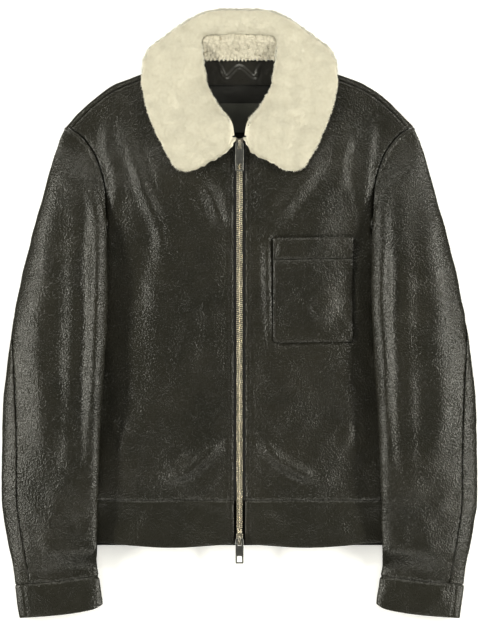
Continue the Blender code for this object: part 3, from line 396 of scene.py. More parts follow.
def sleeve_surface(turn, share):
    """Outer face of a sleeve. turn 0..1 is the upper side from the outer edge to the inner fold,
    1..2 the under side back to the outer edge; share runs from the armhole to the cuff."""
    turn = np.mod(turn, 2.0)
    inward = (1.0 - np.cos(math.pi * turn)) / 2.0
    upper = coons(UPPER_SEAM, CUFF_TOP, OUTER_RAIL, INNER_RAIL, inward, share)
    under = coons(UNDER_SEAM, CUFF_TOP, OUTER_RAIL, INNER_RAIL, inward, share)
    beside_armhole = smooth(inward / 0.30) * smooth((0.75 - inward) / 0.25)
    spread = (1.0 - np.exp(-share / 0.05)) * (1.0 - smooth(share / 0.6))
    under[..., 0] += HEAD_SPREAD * beside_armhole * spread
    plan = np.where((turn <= 1.0)[..., None], upper, under)
    out, y = plan[..., 0], plan[..., 1]
    fold_line = along(INNER_RAIL, share)
    fold_height_here = body_lift(fold_line[..., 0], fold_line[..., 1]) + ring_value(share, 2)
    middle = ring_value(share, 1) * (1.0 - inward) + fold_height_here * inward
    domed = middle + ring_value(share, 3) * swelling(inward, 2.3)
    raised = WELT + FOLD_RAISE * smooth((inward - 0.90) / 0.08)
    seam = middle + (front_height(out, y) + raised - middle) * swelling(inward, 9.0)
    joined = smooth(share / (HEAD_SHARE * (1.0 - 0.8 * inward)))
    top = seam + (domed - seam) * joined
    lift = body_lift(out, y)
    low = middle - (middle - lift) * swelling(inward, 5.0)
    return lifted(plan, np.where(turn <= 1.0, top, np.maximum(low, lift)))


HIND_CURVE = curve(HIND_SEAM)
FORE_CURVE = curve(FORE_SEAM)


def between_seams(start, start_turn, end, end_turn):
    """The stretch of a sleeve between two seam curves, each moved round by its turn."""
    def surface(across, share):
        low, high = reading(start, share) + start_turn, reading(end, share) + end_turn
        return sleeve_surface(low + (high - low) * across, share)
    return surface


def cuff_surface(turn, down):
    turn = np.mod(turn, 2.0)
    inward = (1.0 - np.cos(math.pi * turn)) / 2.0
    top = along(CUFF_TOP, inward)
    mouth = along(curve(CUFF_MOUTH), inward)
    plan = top + (mouth - top) * down[..., None]
    out = plan[..., 0] + CUFF_PROUD * np.cos(math.pi * turn) * smooth(down / 0.1)
    y = plan[..., 1] - SEAM_GAP * (1.0 - down)
    middle = ring_value(1.0, 1) * (1.0 - inward) + ring_value(1.0, 2) * inward
    rise = CUFF_SWELL * swelling(inward, 2.3) + CUFF_PROUD * smooth(down / 0.1)
    low = middle * (1.0 - swelling(inward, 5.0))
    return np.stack([out, y, np.where(turn <= 1.0, middle + rise, low)], axis=-1)


END_LINE = curve(COLLAR_END)
INNER_LINE = curve(COLLAR_INNER)
OUTER_LINE = curve(COLLAR_OUTER)
BACK_LINE = np.array(COLLAR_BACK)
NECK = curve(NECKLINE)


def collar_base(out, y):
    """What the collar's under side rests on: the fronts, the inside of the neck or the floor."""
    height = front_height(out, y) + COLLAR_LIFT
    beyond = (y - shoulder_y(np.maximum(out, SHOULDER[0, 0]))) * 0.9
    floor = height * (1.0 - smooth((beyond - 0.0120) / 0.0120))
    neck_out = reading(NECK[:, ::-1], y)
    inside = (neck_out - out) * 0.8
    drop = NECK_DROP * smooth((inside - 0.0080) / 0.0120)
    neck = np.maximum(np.minimum(height, NECK_LEVEL), height - drop)
    return np.minimum(floor, neck)


def collar_surface(turn, share):
    """Outer face of half the collar. turn runs round a section, share from the leaf's end to the
    middle of the back."""
    end = smooth(share / 0.05) * 0.72 + 0.28
    inward = (1.0 - np.cos(math.pi * turn)) / 2.0
    plan = coons(END_LINE, BACK_LINE, INNER_LINE, OUTER_LINE, inward, share)
    out, y = np.maximum(plan[..., 0], 0.0), plan[..., 1]
    thick = LEAF_THICKNESS + (ROLL_THICKNESS - LEAF_THICKNESS) * smooth((y - 0.3250) / 0.0400)
    thick = thick * end
    middle = collar_base(out, y) + thick / 2
    upper = middle + thick / 2 * swelling(inward, 2.4)
    lower = middle - thick / 2 * swelling(inward, 4.0)
    return np.stack([out, y, np.where(np.mod(turn, 2.0) <= 1.0, upper, lower)], axis=-1)


# ---------------------------------------------------------------- relief

Crease = namedtuple("Crease", "points depth width")


def rumple(points, wavelength, seed, waves=9):
    """A smooth random field of about unit size, the same each run."""
    rng = np.random.default_rng(seed)
    heading = unit(rng.normal(size=(waves, 3)))
    heading *= rng.uniform(0.6, 1.5, (waves, 1)) * 2 * math.pi / wavelength
    phase = rng.uniform(0.0, 2 * math.pi, waves)
    return np.cos(points @ heading.T + phase).sum(axis=1) * math.sqrt(2.0 / waves)


def to_line(points, line, reach):
    """Distance to a line and the place along it, for the points within reach of it; else far."""
    count = points.shape[0]
    distance = np.full(count, 1.0)
    place = np.zeros(count)
    low, high = line.min(axis=0) - reach, line.max(axis=0) + reach
    near = np.nonzero(((points >= low) & (points <= high)).all(axis=1))[0]
    if not len(near):
        return distance, place
    run = lengths(line)
    best = np.full(len(near), 1.0)
    at = np.zeros(len(near))
    spot = points[near]
    for start, end, begun in zip(line, line[1:], run):
        step = end - start
        size = max(float(np.linalg.norm(step)), 1e-9)
        share = np.clip((spot - start) @ step / size ** 2, 0.0, 1.0)
        gap = np.linalg.norm(spot - start - share[:, None] * step, axis=1)
        closer = gap < best
        best[closer] = gap[closer]
        at[closer] = begun + share[closer] * size
    distance[near] = best
    place[near] = at
    return distance, place


def crease_relief(points, creases, side):
    """Soft troughs (depth below 0) and ridges, each tapering to its ends, on one half."""
    plan = points[:, :2] * (side, 1.0)
    relief = np.zeros(len(points))
    for crease in creases:
        line = curve(crease.points, 6)
        distance, place = to_line(plan, line, 4.0 * crease.width)
        share = place / lengths(line)[-1]
        taper = smooth(share / 0.30 + 0.15) * smooth((1.0 - share) / 0.30 + 0.15)
        across = distance / crease.width
        profile = np.exp(-across ** 2) - 0.30 * np.exp(-((across - 1.9) / 0.8) ** 2)
        relief += crease.depth * taper * profile
    return relief


SEAM_DEPTH = 0.0009
SEAM_WIDTH = 0.0016
PUCKER_HEIGHT = 0.00028
PUCKER_LENGTH = 0.0085
PUCKER_REACH = 0.0080
SEAM_REACH = 0.0300
DENT_WIDTH = 0.0009
SWELL_HEIGHT = 0.00022
SWELL_WIDTH = 0.0014
STITCH_PITCH = 0.0034
STITCH_DENT = 0.00030


Seam = namedtuple("Seam", "line depth pucker seed stitch_at", defaults=[None])


def seam_relief(points, seam):
    """The groove at a seam, the puckers beside it and the dent that its topstitch pulls in."""
    distance, place = to_line(points, seam.line, SEAM_REACH)
    relief = -seam.depth * np.exp(-(distance / SEAM_WIDTH) ** 2)
    wander = rumple(np.stack([place, 0 * place, 0 * place], axis=1), 0.035, seam.seed)
    wave = np.sin(2 * math.pi * place / PUCKER_LENGTH + 1.7 * wander) * (0.55 + 0.45 * wander)
    relief += seam.pucker * PUCKER_HEIGHT * wave * np.exp(-distance / PUCKER_REACH)
    if seam.stitch_at:
        pull = 0.75 + 0.25 * np.cos(2 * math.pi * place / STITCH_PITCH)
        relief -= STITCH_DENT * pull * np.exp(-((distance - seam.stitch_at) / DENT_WIDTH) ** 2)
        relief += SWELL_HEIGHT * np.exp(-((distance - seam.stitch_at * 0.45) / SWELL_WIDTH) ** 2)
    return relief


def relief_of(seams, creases=(), side=1, deepen=1.0, also=()):
    """What a piece adds to its form: its seams, then any forms of its own, then its creases."""
    def relief(points):
        lift = sum(seam_relief(points, seam) for seam in seams)
        for form in also:
            lift = lift + form(points)
        return lift + deepen * crease_relief(points, creases, side)
    return relief


# ---------------------------------------------------------------- meshes

def spaced(length, edge=0.0006, step=0.0034):
    """Shares of a length, close together at both ends and about a step apart between."""
    close = np.array([0.0, 1.0, 2.0, 3.3, 5.0, 6.8, 8.8, 11.0, 13.5, 17.0, 21.0]) * edge
    close = close[close < 0.3 * length]
    middle = length - 2 * close[-1]
    count = max(2, round(middle / step))
    inner = close[-1] + middle * np.arange(1, count) / count
    return np.concatenate([close, inner, length - close[::-1]]) / length


def joined(grids):
    """Points and faces of several grids, with the points that meet made one."""
    points, faces, start = [], [], 0
    for grid in grids:
        rows, columns = grid.shape[:2]
        index = start + np.arange(rows * columns).reshape(rows, columns)
        corners = (index[:-1, :-1], index[1:, :-1], index[1:, 1:], index[:-1, 1:])
        faces.append(np.stack(corners, axis=-1).reshape(-1, 4))
        points.append(grid.reshape(-1, 3))
        start += rows * columns
    points, faces = np.concatenate(points), np.concatenate(faces)
    _, first, same = np.unique(np.round(points / 2e-6).astype(np.int64), axis=0, return_index=True,
                               return_inverse=True)
    faces = same.reshape(-1)[faces]
    whole = np.array([len(set(face)) == 4 for face in faces.tolist()])
    return points[first], faces[whole]


def vertex_normals(points, faces):
    facet = np.cross(points[faces[:, 2]] - points[faces[:, 0]], points[faces[:, 3]] - points[faces[:, 1]])
    normals = np.zeros_like(points)
    for corner in range(4):
        np.add.at(normals, faces[:, corner], facet)
    return unit(normals)


def make_object(name, points, faces, materials, slots=None, soft=True):
    mesh = bpy.data.meshes.new(name)
    mesh.from_pydata(np.asarray(points).tolist(), [], [list(face) for face in faces])
    for made in materials:
        mesh.materials.append(made)
    if slots is not None:
        mesh.polygons.foreach_set("material_index", slots)
    if soft:
        mesh.shade_smooth()
        mesh.set_sharp_from_angle(angle=math.radians(62))
    made = bpy.data.objects.new(name, mesh)
    bpy.context.scene.collection.objects.link(made)
    return made


def belongs(piece, body, node=None):
    """The body a piece rides on, and the solid that it takes the place of."""
    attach(piece, body)
    if node:
        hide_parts(node)


def thicken(points, faces, normals, thickness, roll):
    """A closed wall under an outer face: its inner face and a rounded edge all round."""
    count = len(points)
    inner = points - thickness * normals
    edges = np.concatenate([faces[:, [k, (k + 1) % 4]] for k in range(4)])
    code = edges[:, 0] * count + edges[:, 1]
    back = edges[:, 1] * count + edges[:, 0]
    outer = edges[~np.isin(code, back)]
    outwards = np.zeros_like(points)
    run = points[outer[:, 1]] - points[outer[:, 0]]
    aside = unit(np.cross(run, normals[outer[:, 0]]))
    np.add.at(outwards, outer[:, 0], aside)
    np.add.at(outwards, outer[:, 1], aside)
    rim = np.unique(outer)
    outwards[rim] = unit(outwards[rim])
    place = np.full(count, -1)
    place[rim] = np.arange(len(rim))
    upper = points[rim] - 0.25 * thickness * normals[rim] + 0.8 * roll * outwards[rim]
    lower = points[rim] - 0.75 * thickness * normals[rim] + 0.8 * roll * outwards[rim]
    first, last = outer[:, 0], outer[:, 1]
    top, low = 2 * count, 2 * count + len(rim)
    bands = [np.stack([last, first, top + place[first], top + place[last]], axis=1),
             np.stack([top + place[last], top + place[first], low + place[first], low + place[last]], axis=1),
             np.stack([low + place[last], low + place[first], count + first, count + last], axis=1)]
    every = np.concatenate([faces, count + faces[:, ::-1]] + bands)
    inside = np.zeros(len(every), np.int32)
    inside[len(faces):2 * len(faces)] = 1
    return np.concatenate([points, inner, upper, lower]), every, inside


Shell = namedtuple("Shell", "piece tree")


def settled(points):
    """The whole stack's slow rise and fall, the same in every layer; the zip stays where it is."""
    plan = points * (1.0, 1.0, 0.0)
    wave = 0.0011 * rumple(plan, 0.125, 301) + 0.0005 * rumple(plan, 0.058, 302)
    clear = smooth((np.abs(points[:, 0]) - 0.0120) / 0.0450) * smooth(points[:, 2] / 0.0140)
    return points + np.stack([0.0 * wave, 0.0 * wave, wave * clear], axis=1)


def shell(name, node, grids, outward, thickness, relief, materials, roll=0.00025, seed=5):
    """A thin cloth piece on the outer face of its solid, with this relief along its normals."""
    points, faces = joined(grids)
    if outward < 0:
        faces = faces[:, ::-1]
    normals = vertex_normals(points, faces)
    lift = relief(points)
    lift += 0.00020 * rumple(points, 0.040, seed) + 0.00010 * rumple(points, 0.018, seed + 1)
    points = settled(points + lift[:, None] * normals)
    points[:, 2] = np.maximum(points[:, 2], 0.00002)
    normals = vertex_normals(points, faces)
    tree = BVHTree.FromPolygons(points.tolist(), faces.tolist())
    wall, every, inside = thicken(points, faces, normals, thickness, roll)
    wall[:, 2] = np.maximum(wall[:, 2], 0.00002)
    piece = make_object(name, wall, every, materials, inside)
    belongs(piece, "garment", node)
    return Shell(piece, tree)


def grid_of(surface, across, down):
    return surface(*np.meshgrid(across, down))


def edge_line(surface, across, down):
    """A line on a surface, as a dense array; one of across and down is a single value."""
    across, down = np.broadcast_arrays(np.asarray(across, float), np.asarray(down, float))
    return surface(across[None], down[None])[0]


def border(surface, which, count, start=0.0, stop=1.0):
    """One edge of a surface: its top or foot, or its near or far side."""
    run = np.linspace(start, stop, count)
    return {"top": lambda: edge_line(surface, run, 0.0), "foot": lambda: edge_line(surface, run, 1.0),
            "near": lambda: edge_line(surface, 0.0, run), "far": lambda: edge_line(surface, 1.0, run)}[which]()


def stitch_row(shell_made, line, distance, toward):
    """Places and headings of the stitches beside a seam line, at a distance toward a plan point."""
    run = lengths(line)
    count = int(run[-1] / STITCH_PITCH)
    spots = along(line, (np.arange(count) + 0.5) / count)
    ahead = along(line, np.minimum((np.arange(count) + 0.9) / count, 1.0)) - spots
    found = []
    for spot, step in zip(spots, ahead):
        at, normal, _, _ = shell_made.tree.find_nearest(Vector(spot))
        aside = Vector(step).cross(normal).normalized()
        if aside.dot(Vector(toward) - at) < 0:
            aside = -aside
        at, normal, _, _ = shell_made.tree.find_nearest(at + distance * aside)
        heading = (Vector(step) - Vector(step).dot(normal) * normal).normalized()
        found.append((at, normal, heading))
    return found


STITCH_LENGTH = 0.0027
THREAD = 0.00030


def stitches(name, rows, thread):
    """All the stitches of some rows: each a short thread whose ends go down into the leather."""
    points, faces = [], []
    profile = [(-0.5, -1.0, 0.6), (-0.38, 0.25, 0.95), (0.0, 0.55, 1.0), (0.38, 0.25, 0.95), (0.5, -1.0, 0.6)]
    for at, normal, heading in (stitch for row in rows for stitch in row):
        aside = normal.cross(heading)
        start = len(points)
        for length, height, wide in profile:
            centre = at + heading * (length * STITCH_LENGTH) + normal * (height * THREAD)
            for turn in range(5):
                angle = 2 * math.pi * turn / 5
                points.append(centre + aside * (wide * THREAD * math.cos(angle))
                              + normal * (wide * THREAD * math.sin(angle)))
        for ring in range(len(profile) - 1):
            for turn in range(5):
                low = start + ring * 5
                after = (turn + 1) % 5
                faces.append((low + turn, low + after, low + 5 + after, low + 5 + turn))
    belongs(make_object(name, np.array(points), faces, [thread]), "garment")


# ---------------------------------------------------------------- materials

def nodes_of(name):
    made = bpy.data.materials.new(name)
    made.use_nodes = True
    tree = made.node_tree
    return made, tree, tree.nodes["Principled BSDF"]


def add(tree, kind, inputs=(), **settings):
    node = tree.nodes.new(kind)
    for key, value in settings.items():
        setattr(node, key, value)
    for key, value in dict(inputs).items():
        node.inputs[key].default_value = value
    return node


def ramp(tree, factor, stops):
    node = tree.nodes.new("ShaderNodeValToRGB")
    while len(node.color_ramp.elements) < len(stops):
        node.color_ramp.elements.new(0.5)
    for element, (place, colour) in zip(node.color_ramp.elements, stops):
        element.position = place
        element.color = (*colour, 1.0) if hasattr(colour, "__len__") else (colour, colour, colour, 1.0)
    tree.links.new(factor, node.inputs["Fac"])
    return node.outputs["Color"]


def multiply_add(tree, value, factor, addend):
    node = add(tree, "ShaderNodeMath", {1: factor}, operation="MULTIPLY_ADD")
    tree.links.new(value, node.inputs[0])
    if hasattr(addend, "links"):
        tree.links.new(addend, node.inputs[2])
    else:
        node.inputs[2].default_value = addend
    return node.outputs[0]


def bump(tree, height, distance, strength=1.0):
    node = add(tree, "ShaderNodeBump", {"Distance": distance, "Strength": strength})
    tree.links.new(height, node.inputs["Height"])
    return node.outputs["Normal"]


def place_of(tree):
    return add(tree, "ShaderNodeTexCoord").outputs["Object"]


def noise_of(tree, where, scale, detail=3.0, rough=0.55):
    node = add(tree, "ShaderNodeTexNoise", {"Scale": scale, "Detail": detail, "Roughness": rough})
    tree.links.new(where, node.inputs["Vector"])
    return node.outputs["Fac"]


def cells_of(tree, where, scale, smoothness):
    node = add(tree, "ShaderNodeTexVoronoi", {"Scale": scale}, feature="SMOOTH_F1")
    node.inputs["Smoothness"].default_value = smoothness
    tree.links.new(where, node.inputs["Vector"])
    return node.outputs["Distance"]


def leather_material(name, dark, light, rough, grain=1.0, coat=0.0):
    """Pebbled leather: round grains of two sizes in a net of creases, worn a little brown."""
    made, tree, shader = nodes_of(name)
    where = place_of(tree)
    wander = add(tree, "ShaderNodeTexNoise", {"Scale": 260.0, "Detail": 2.0})
    tree.links.new(where, wander.inputs["Vector"])
    shift = add(tree, "ShaderNodeMixRGB", {"Fac": 0.0016}, blend_type="ADD")
    tree.links.new(where, shift.inputs["Color1"])
    tree.links.new(wander.outputs["Color"], shift.inputs["Color2"])
    spot = shift.outputs["Color"]
    pebbles = cells_of(tree, spot, 430.0, 0.30)
    small = cells_of(tree, spot, 980.0, 0.25)
    pores = noise_of(tree, where, 1500.0, 2.0)
    height = multiply_add(tree, small, -0.45, multiply_add(tree, pores, 0.25, 0.6))
    height = multiply_add(tree, pebbles, -1.15, height)
    patchy = noise_of(tree, where, 14.0, 4.0)
    tree.links.new(ramp(tree, patchy, [(0.32, dark), (0.70, light)]), shader.inputs["Base Color"])
    roughness = multiply_add(tree, noise_of(tree, where, 60.0, 3.0), 0.10, rough - 0.05)
    roughness = multiply_add(tree, pebbles, 0.12, roughness)
    tree.links.new(roughness, shader.inputs["Roughness"])
    tree.links.new(bump(tree, height, 0.00050 * grain), shader.inputs["Normal"])
    shader.inputs["Specular IOR Level"].default_value = 0.36
    shader.inputs["Coat Weight"].default_value = coat
    shader.inputs["Coat Roughness"].default_value = 0.35
    return made


def cloth_material(name, dark, light, rough, thread, sheen=0.3):
    """A close weave, two sets of threads at right angles."""
    made, tree, shader = nodes_of(name)
    where = place_of(tree)
    waves = []
    for direction in ("X", "Y"):
        wave = add(tree, "ShaderNodeTexWave", {"Scale": 1.0 / thread, "Distortion": 0.6, "Detail": 1.0},
                   wave_type="BANDS", bands_direction=direction)
        tree.links.new(where, wave.inputs["Vector"])
        waves.append(wave.outputs["Fac"])
    crossed = add(tree, "ShaderNodeMath", operation="MULTIPLY")
    tree.links.new(waves[0], crossed.inputs[0])
    tree.links.new(waves[1], crossed.inputs[1])
    colour = noise_of(tree, where, 45.0)
    tree.links.new(ramp(tree, colour, [(0.3, dark), (0.7, light)]), shader.inputs["Base Color"])
    tree.links.new(bump(tree, crossed.outputs[0], 0.0002), shader.inputs["Normal"])
    shader.inputs["Roughness"].default_value = rough
    shader.inputs["Specular IOR Level"].default_value = 0.2
    shader.inputs["Sheen Weight"].default_value = sheen
    return made


def metal_material(name, colour, rough):
    made, tree, shader = nodes_of(name)
    where = place_of(tree)
    scratches = noise_of(tree, where, 900.0, 4.0)
    tree.links.new(multiply_add(tree, scratches, 0.20, rough - 0.10), shader.inputs["Roughness"])
    worn = noise_of(tree, where, 130.0, 3.0)
    dark = tuple(0.72 * c for c in colour)
    tree.links.new(ramp(tree, worn, [(0.35, dark), (0.65, colour)]), shader.inputs["Base Color"])
    tree.links.new(bump(tree, scratches, 0.00004), shader.inputs["Normal"])
    shader.inputs["Metallic"].default_value = 1.0
    return made


def wool_material(name, root, tip, tuft, painted_side_highlight):
    """Shearling: cream wool, with painted shade that makes it a little darker down between its tufts, and a painted
    highlight that makes it paler where its face turns sideways.
    """
    made, tree, shader = nodes_of(name)
    where = place_of(tree)
    tufts = cells_of(tree, where, 1.0 / tuft, 0.5)
    fibres = noise_of(tree, where, 1300.0, 3.0, 0.7)
    # Painted shade: the colour runs from the darker root colour in the gaps between tufts to the tip colour on them;
    # the fibre noise is random tone, and the same value also drives the bump.
    shade = multiply_add(tree, fibres, 0.5, multiply_add(tree, tufts, -0.6, 0.55))
    # Painted highlight: faces that turn sideways or down take the pale colour in place of the shaded wool colour.
    aside = add(tree, "ShaderNodeSeparateXYZ")
    tree.links.new(add(tree, "ShaderNodeNewGeometry").outputs["Normal"], aside.inputs["Vector"])
    painted_highlight_mix = add(tree, "ShaderNodeMixRGB", {"Color1": (*painted_side_highlight, 1.0)})
    tree.links.new(ramp(tree, aside.outputs["Z"], [(0.05, 0.0), (0.55, 1.0)]), painted_highlight_mix.inputs["Fac"])
    tree.links.new(ramp(tree, shade, [(0.25, root), (0.60, tip)]), painted_highlight_mix.inputs["Color2"])
    tree.links.new(painted_highlight_mix.outputs["Color"], shader.inputs["Base Color"])
    tree.links.new(bump(tree, shade, 0.0010, 0.5), shader.inputs["Normal"])
    shader.inputs["Roughness"].default_value = 0.95
    shader.inputs["Sheen Weight"].default_value = 0.15
    shader.inputs["Sheen Roughness"].default_value = 0.6
    return made


LEATHER_LOOK = leather_material("leather_grain", (0.0102, 0.0099, 0.0070), (0.0160, 0.0149, 0.0104), 0.21)
BAND_LOOK = leather_material("leather_band", (0.0108, 0.0105, 0.0074), (0.0154, 0.0146, 0.0102), 0.24, 0.8)
FACING_LOOK = leather_material("leather_facing", (0.0075, 0.0070, 0.0056), (0.0130, 0.0118, 0.0090), 0.26, 0.3, 0.3)
LINING_LOOK = cloth_material("lining_satin", (0.0040, 0.0040, 0.0030), (0.0062, 0.0060, 0.0046), 0.48, 0.0005, 0.0)
LABEL_LOOK = cloth_material("label_weave", (0.026, 0.027, 0.020), (0.033, 0.034, 0.026), 0.70, 0.0007)
TAPE_LOOK = cloth_material("tape_weave", (0.010, 0.010, 0.010), (0.016, 0.016, 0.016), 0.75, 0.0011)
THREAD_LOOK = cloth_material("thread", (0.016, 0.014, 0.011), (0.030, 0.026, 0.020), 0.55, 0.0004)
TEETH_LOOK = metal_material("zip_nickel", (0.80, 0.73, 0.58), 0.28)
DARK_METAL_LOOK = metal_material("pull_metal", (0.30, 0.30, 0.28), 0.36)
CROWN_LOOK = metal_material("slider_metal", (0.62, 0.57, 0.47), 0.30)
# Wool colours: root is painted shade in the gaps between tufts or curls, tip is the wool's own cream, and the last is
# a painted highlight for faces that turn sideways.
WOOL_LOOK = wool_material("wool", (0.625, 0.588, 0.480), (0.670, 0.637, 0.530), 0.0042, (0.74, 0.73, 0.67))
CURL_LOOK = wool_material("wool_curls", (0.33, 0.29, 0.21), (0.62, 0.575, 0.47), 0.0040, (0.62, 0.58, 0.49))
EDGE_LOOK = leather_material("collar_edge", (0.007, 0.006, 0.005), (0.012, 0.010, 0.008), 0.60, 0.5, 0.05)


# ---------------------------------------------------------------- fronts and back

RIGHT, LEFT = -1, 1

# Creases of each front as the photograph shows them: (out, y) points, depth (ridges above 0), width
FRONT_CREASES = {
    RIGHT: [
        Crease([(0.1586, 0.2582), (0.1388, 0.2086), (0.1229, 0.1530), (0.1091, 0.1137), (0.1033, 0.0597)],
               0.0016, 0.0080),
        Crease([(0.1451, 0.2420), (0.1276, 0.1934), (0.1127, 0.1488)], -0.0013, 0.0075),
        Crease([(0.1789, 0.2676), (0.1790, 0.2190), (0.1667, 0.1772), (0.1748, 0.1191)], 0.0011, 0.0060),
        Crease([(0.0493, 0.1772), (0.0338, 0.1488), (0.0196, 0.1097)], 0.0024, 0.0095),
        Crease([(0.1066, -0.2285), (0.0830, -0.2205), (0.0591, -0.2068), (0.0393, -0.1889), (0.0255, -0.1730)],
               0.0017, 0.0060),
        Crease([(0.0900, -0.2370), (0.0600, -0.2270), (0.0300, -0.2010)], -0.0010, 0.0070),
        Crease([(0.1559, -0.1611), (0.1512, -0.1806)], 0.0012, 0.0065),
        Crease([(0.1640, -0.1414), (0.1530, -0.1700), (0.1424, -0.1968)], -0.0010, 0.0060),
        Crease([(0.0430, -0.2310), (0.0390, -0.2335)], 0.0009, 0.0040),
        Crease([(0.1300, 0.0500), (0.1340, -0.0300), (0.1290, -0.0900)], -0.0008, 0.0130),
        Crease([(0.0700, 0.0300), (0.0640, -0.0500), (0.0690, -0.1200)], -0.0006, 0.0150),
        Crease([(0.1880, -0.0400), (0.1810, -0.1100), (0.1840, -0.1600)], -0.0009, 0.0090),
    ],
    LEFT: [
        Crease([(0.1114, 0.2123), (0.0803, 0.1718), (0.0513, 0.1272)], 0.0016, 0.0105),
        Crease([(0.1180, 0.1830), (0.0900, 0.1500), (0.0640, 0.1190)], -0.0009, 0.0090),
        Crease([(0.0378, 0.1021), (0.0378, 0.0422), (0.0423, -0.0253), (0.0490, -0.0480)], 0.0017, 0.0058),
        Crease([(0.1497, 0.2454), (0.1384, 0.2140), (0.1316, 0.1804)], 0.0013, 0.0065),
        Crease([(0.1610, 0.2380), (0.1530, 0.1980), (0.1500, 0.1600)], -0.0010, 0.0065),
        Crease([(0.1810, 0.2655), (0.1735, 0.2069), (0.1677, 0.1536), (0.1721, 0.1313)], 0.0012, 0.0060),
        Crease([(0.0331, -0.1806), (0.0560, -0.2010), (0.0800, -0.2150), (0.1060, -0.2238)], 0.0015, 0.0062),
        Crease([(0.0420, -0.2080), (0.0700, -0.2250), (0.0960, -0.2340)], -0.0009, 0.0070),
        Crease([(0.1500, -0.1500), (0.1440, -0.1830)], 0.0011, 0.0070),
        Crease([(0.1600, -0.1380), (0.1560, -0.1640), (0.1400, -0.2010)], -0.0010, 0.0062),
        Crease([(0.0600, -0.0620), (0.0560, -0.1100), (0.0620, -0.1500)], -0.0007, 0.0140),
        Crease([(0.1750, -0.0500), (0.1830, -0.1050), (0.1790, -0.1500)], -0.0009, 0.0095),
    ],
}
PLACKET_FOLD = 0.0008
FRONT_CREASE_SHARE = 1.4
POCKET_GROOVE = 0.0020
POCKET_GROOVE_WIDTH = 0.0034
POCKET_CUT = 0.0050
POCKET_CORNERS = [(POCKET_INNER, POCKET_TOP_Y), (POCKET_INNER, POCKET_LOW_Y + POCKET_CUT),
                  (POCKET_INNER + POCKET_CUT, POCKET_LOW_Y), (POCKET_OUTER - POCKET_CUT, POCKET_LOW_Y),
                  (POCKET_OUTER, POCKET_LOW_Y + POCKET_CUT), (POCKET_OUTER, POCKET_TOP_Y),
                  (POCKET_INNER, POCKET_TOP_Y)]
POCKET_MIDDLE = (POCKET_INNER + POCKET_OUTER) / 2
POCKET_OUTLINE = on_front(along(np.array([(x, y + POCKET_TILT * (x - POCKET_MIDDLE)) for x, y in POCKET_CORNERS]),
                                np.linspace(0.0, 1.0, 120)))
PLACKET_STITCH = 0.0062
SHOULDER_STITCH = 0.0050
SIDE_NAMES = {LEFT: "left", RIGHT: "right"}


def front_shell(side):
    surface = mirrored(front_surface, side)
    upper = spaced(0.30, step=0.0034) * SIDE_SHARE
    lower = SIDE_SHARE + spaced(0.272, step=0.0034) * (1.0 - SIDE_SHARE)
    down = np.concatenate([upper, lower[1:]])
    across = spaced(0.215, step=0.0034)
    main = grid_of(surface, across, down)
    rim = grid_of(mirrored(rim_strip(SIDE_TOP, LEATHER + GAP), side), np.linspace(0.0, 1.0, 9),
                  (lower - SIDE_SHARE) / (1.0 - SIDE_SHARE))
    shoulder = border(surface, "top", 60, NECK_SHARE)
    centre = border(surface, "near", 60)
    seams = [Seam(shoulder, SEAM_DEPTH, 1.0, 11, SHOULDER_STITCH),
             Seam(border(surface, "top", 40, stop=NECK_SHARE), 0.0002, 0.4, 12),
             Seam(border(surface, "far", 110, stop=SIDE_SHARE), 0.0012, 1.3, 13 + side),
             Seam(border(surface, "foot", 50), 0.0012, 1.1, 16 + side),
             Seam(centre, 0.0003, 0.7, 19 + side, PLACKET_STITCH),
             Seam(rim[:, -1][::3], 0.0006, 1.0, 22)]

    def placket(points):
        edge, _ = to_line(points, centre, 0.020)
        return PLACKET_FOLD * (1.0 - smooth((edge - PLACKET_STITCH) / 0.0030))

    def pocket_groove(points):
        around, _ = to_line(points, POCKET_OUTLINE, 0.0120)
        return -POCKET_GROOVE * np.exp(-(around / POCKET_GROOVE_WIDTH) ** 2)
    also = [pocket_groove, placket] if side == LEFT else [placket]
    relief = relief_of(seams, FRONT_CREASES[side], side, FRONT_CREASE_SHARE, also)
    name = SIDE_NAMES[side]
    made = shell(f"front_{name}_leather", f"front_{name}", [main, rim], side, LEATHER, relief,
                 [LEATHER_LOOK, LINING_LOOK], seed=30 + side)
    rows = [stitch_row(made, shoulder, SHOULDER_STITCH, (side * 0.05, 0.0, 0.03)),
            stitch_row(made, centre, PLACKET_STITCH, (side * 0.20, 0.0, 0.03))]
    return rows


BACK_CREASES = [
    Crease([(0.060, 0.200), (0.075, 0.080), (0.066, -0.040)], -0.0010, 0.0120),
    Crease([(0.150, 0.180), (0.132, 0.090), (0.138, 0.010)], -0.0008, 0.0100),
    Crease([(0.020, -0.120), (0.060, -0.160), (0.110, -0.172)], -0.0010, 0.0090),
    Crease([(0.190, -0.060), (0.176, -0.130), (0.184, -0.190)], -0.0009, 0.0080),
]
HEM_CREASES = [
    Crease([(0.0480, -0.2740), (0.0760, -0.2830)], 0.0007, 0.0090),
    Crease([(0.1250, -0.2650), (0.1500, -0.2790), (0.1800, -0.2800)], -0.0006, 0.0085),
]


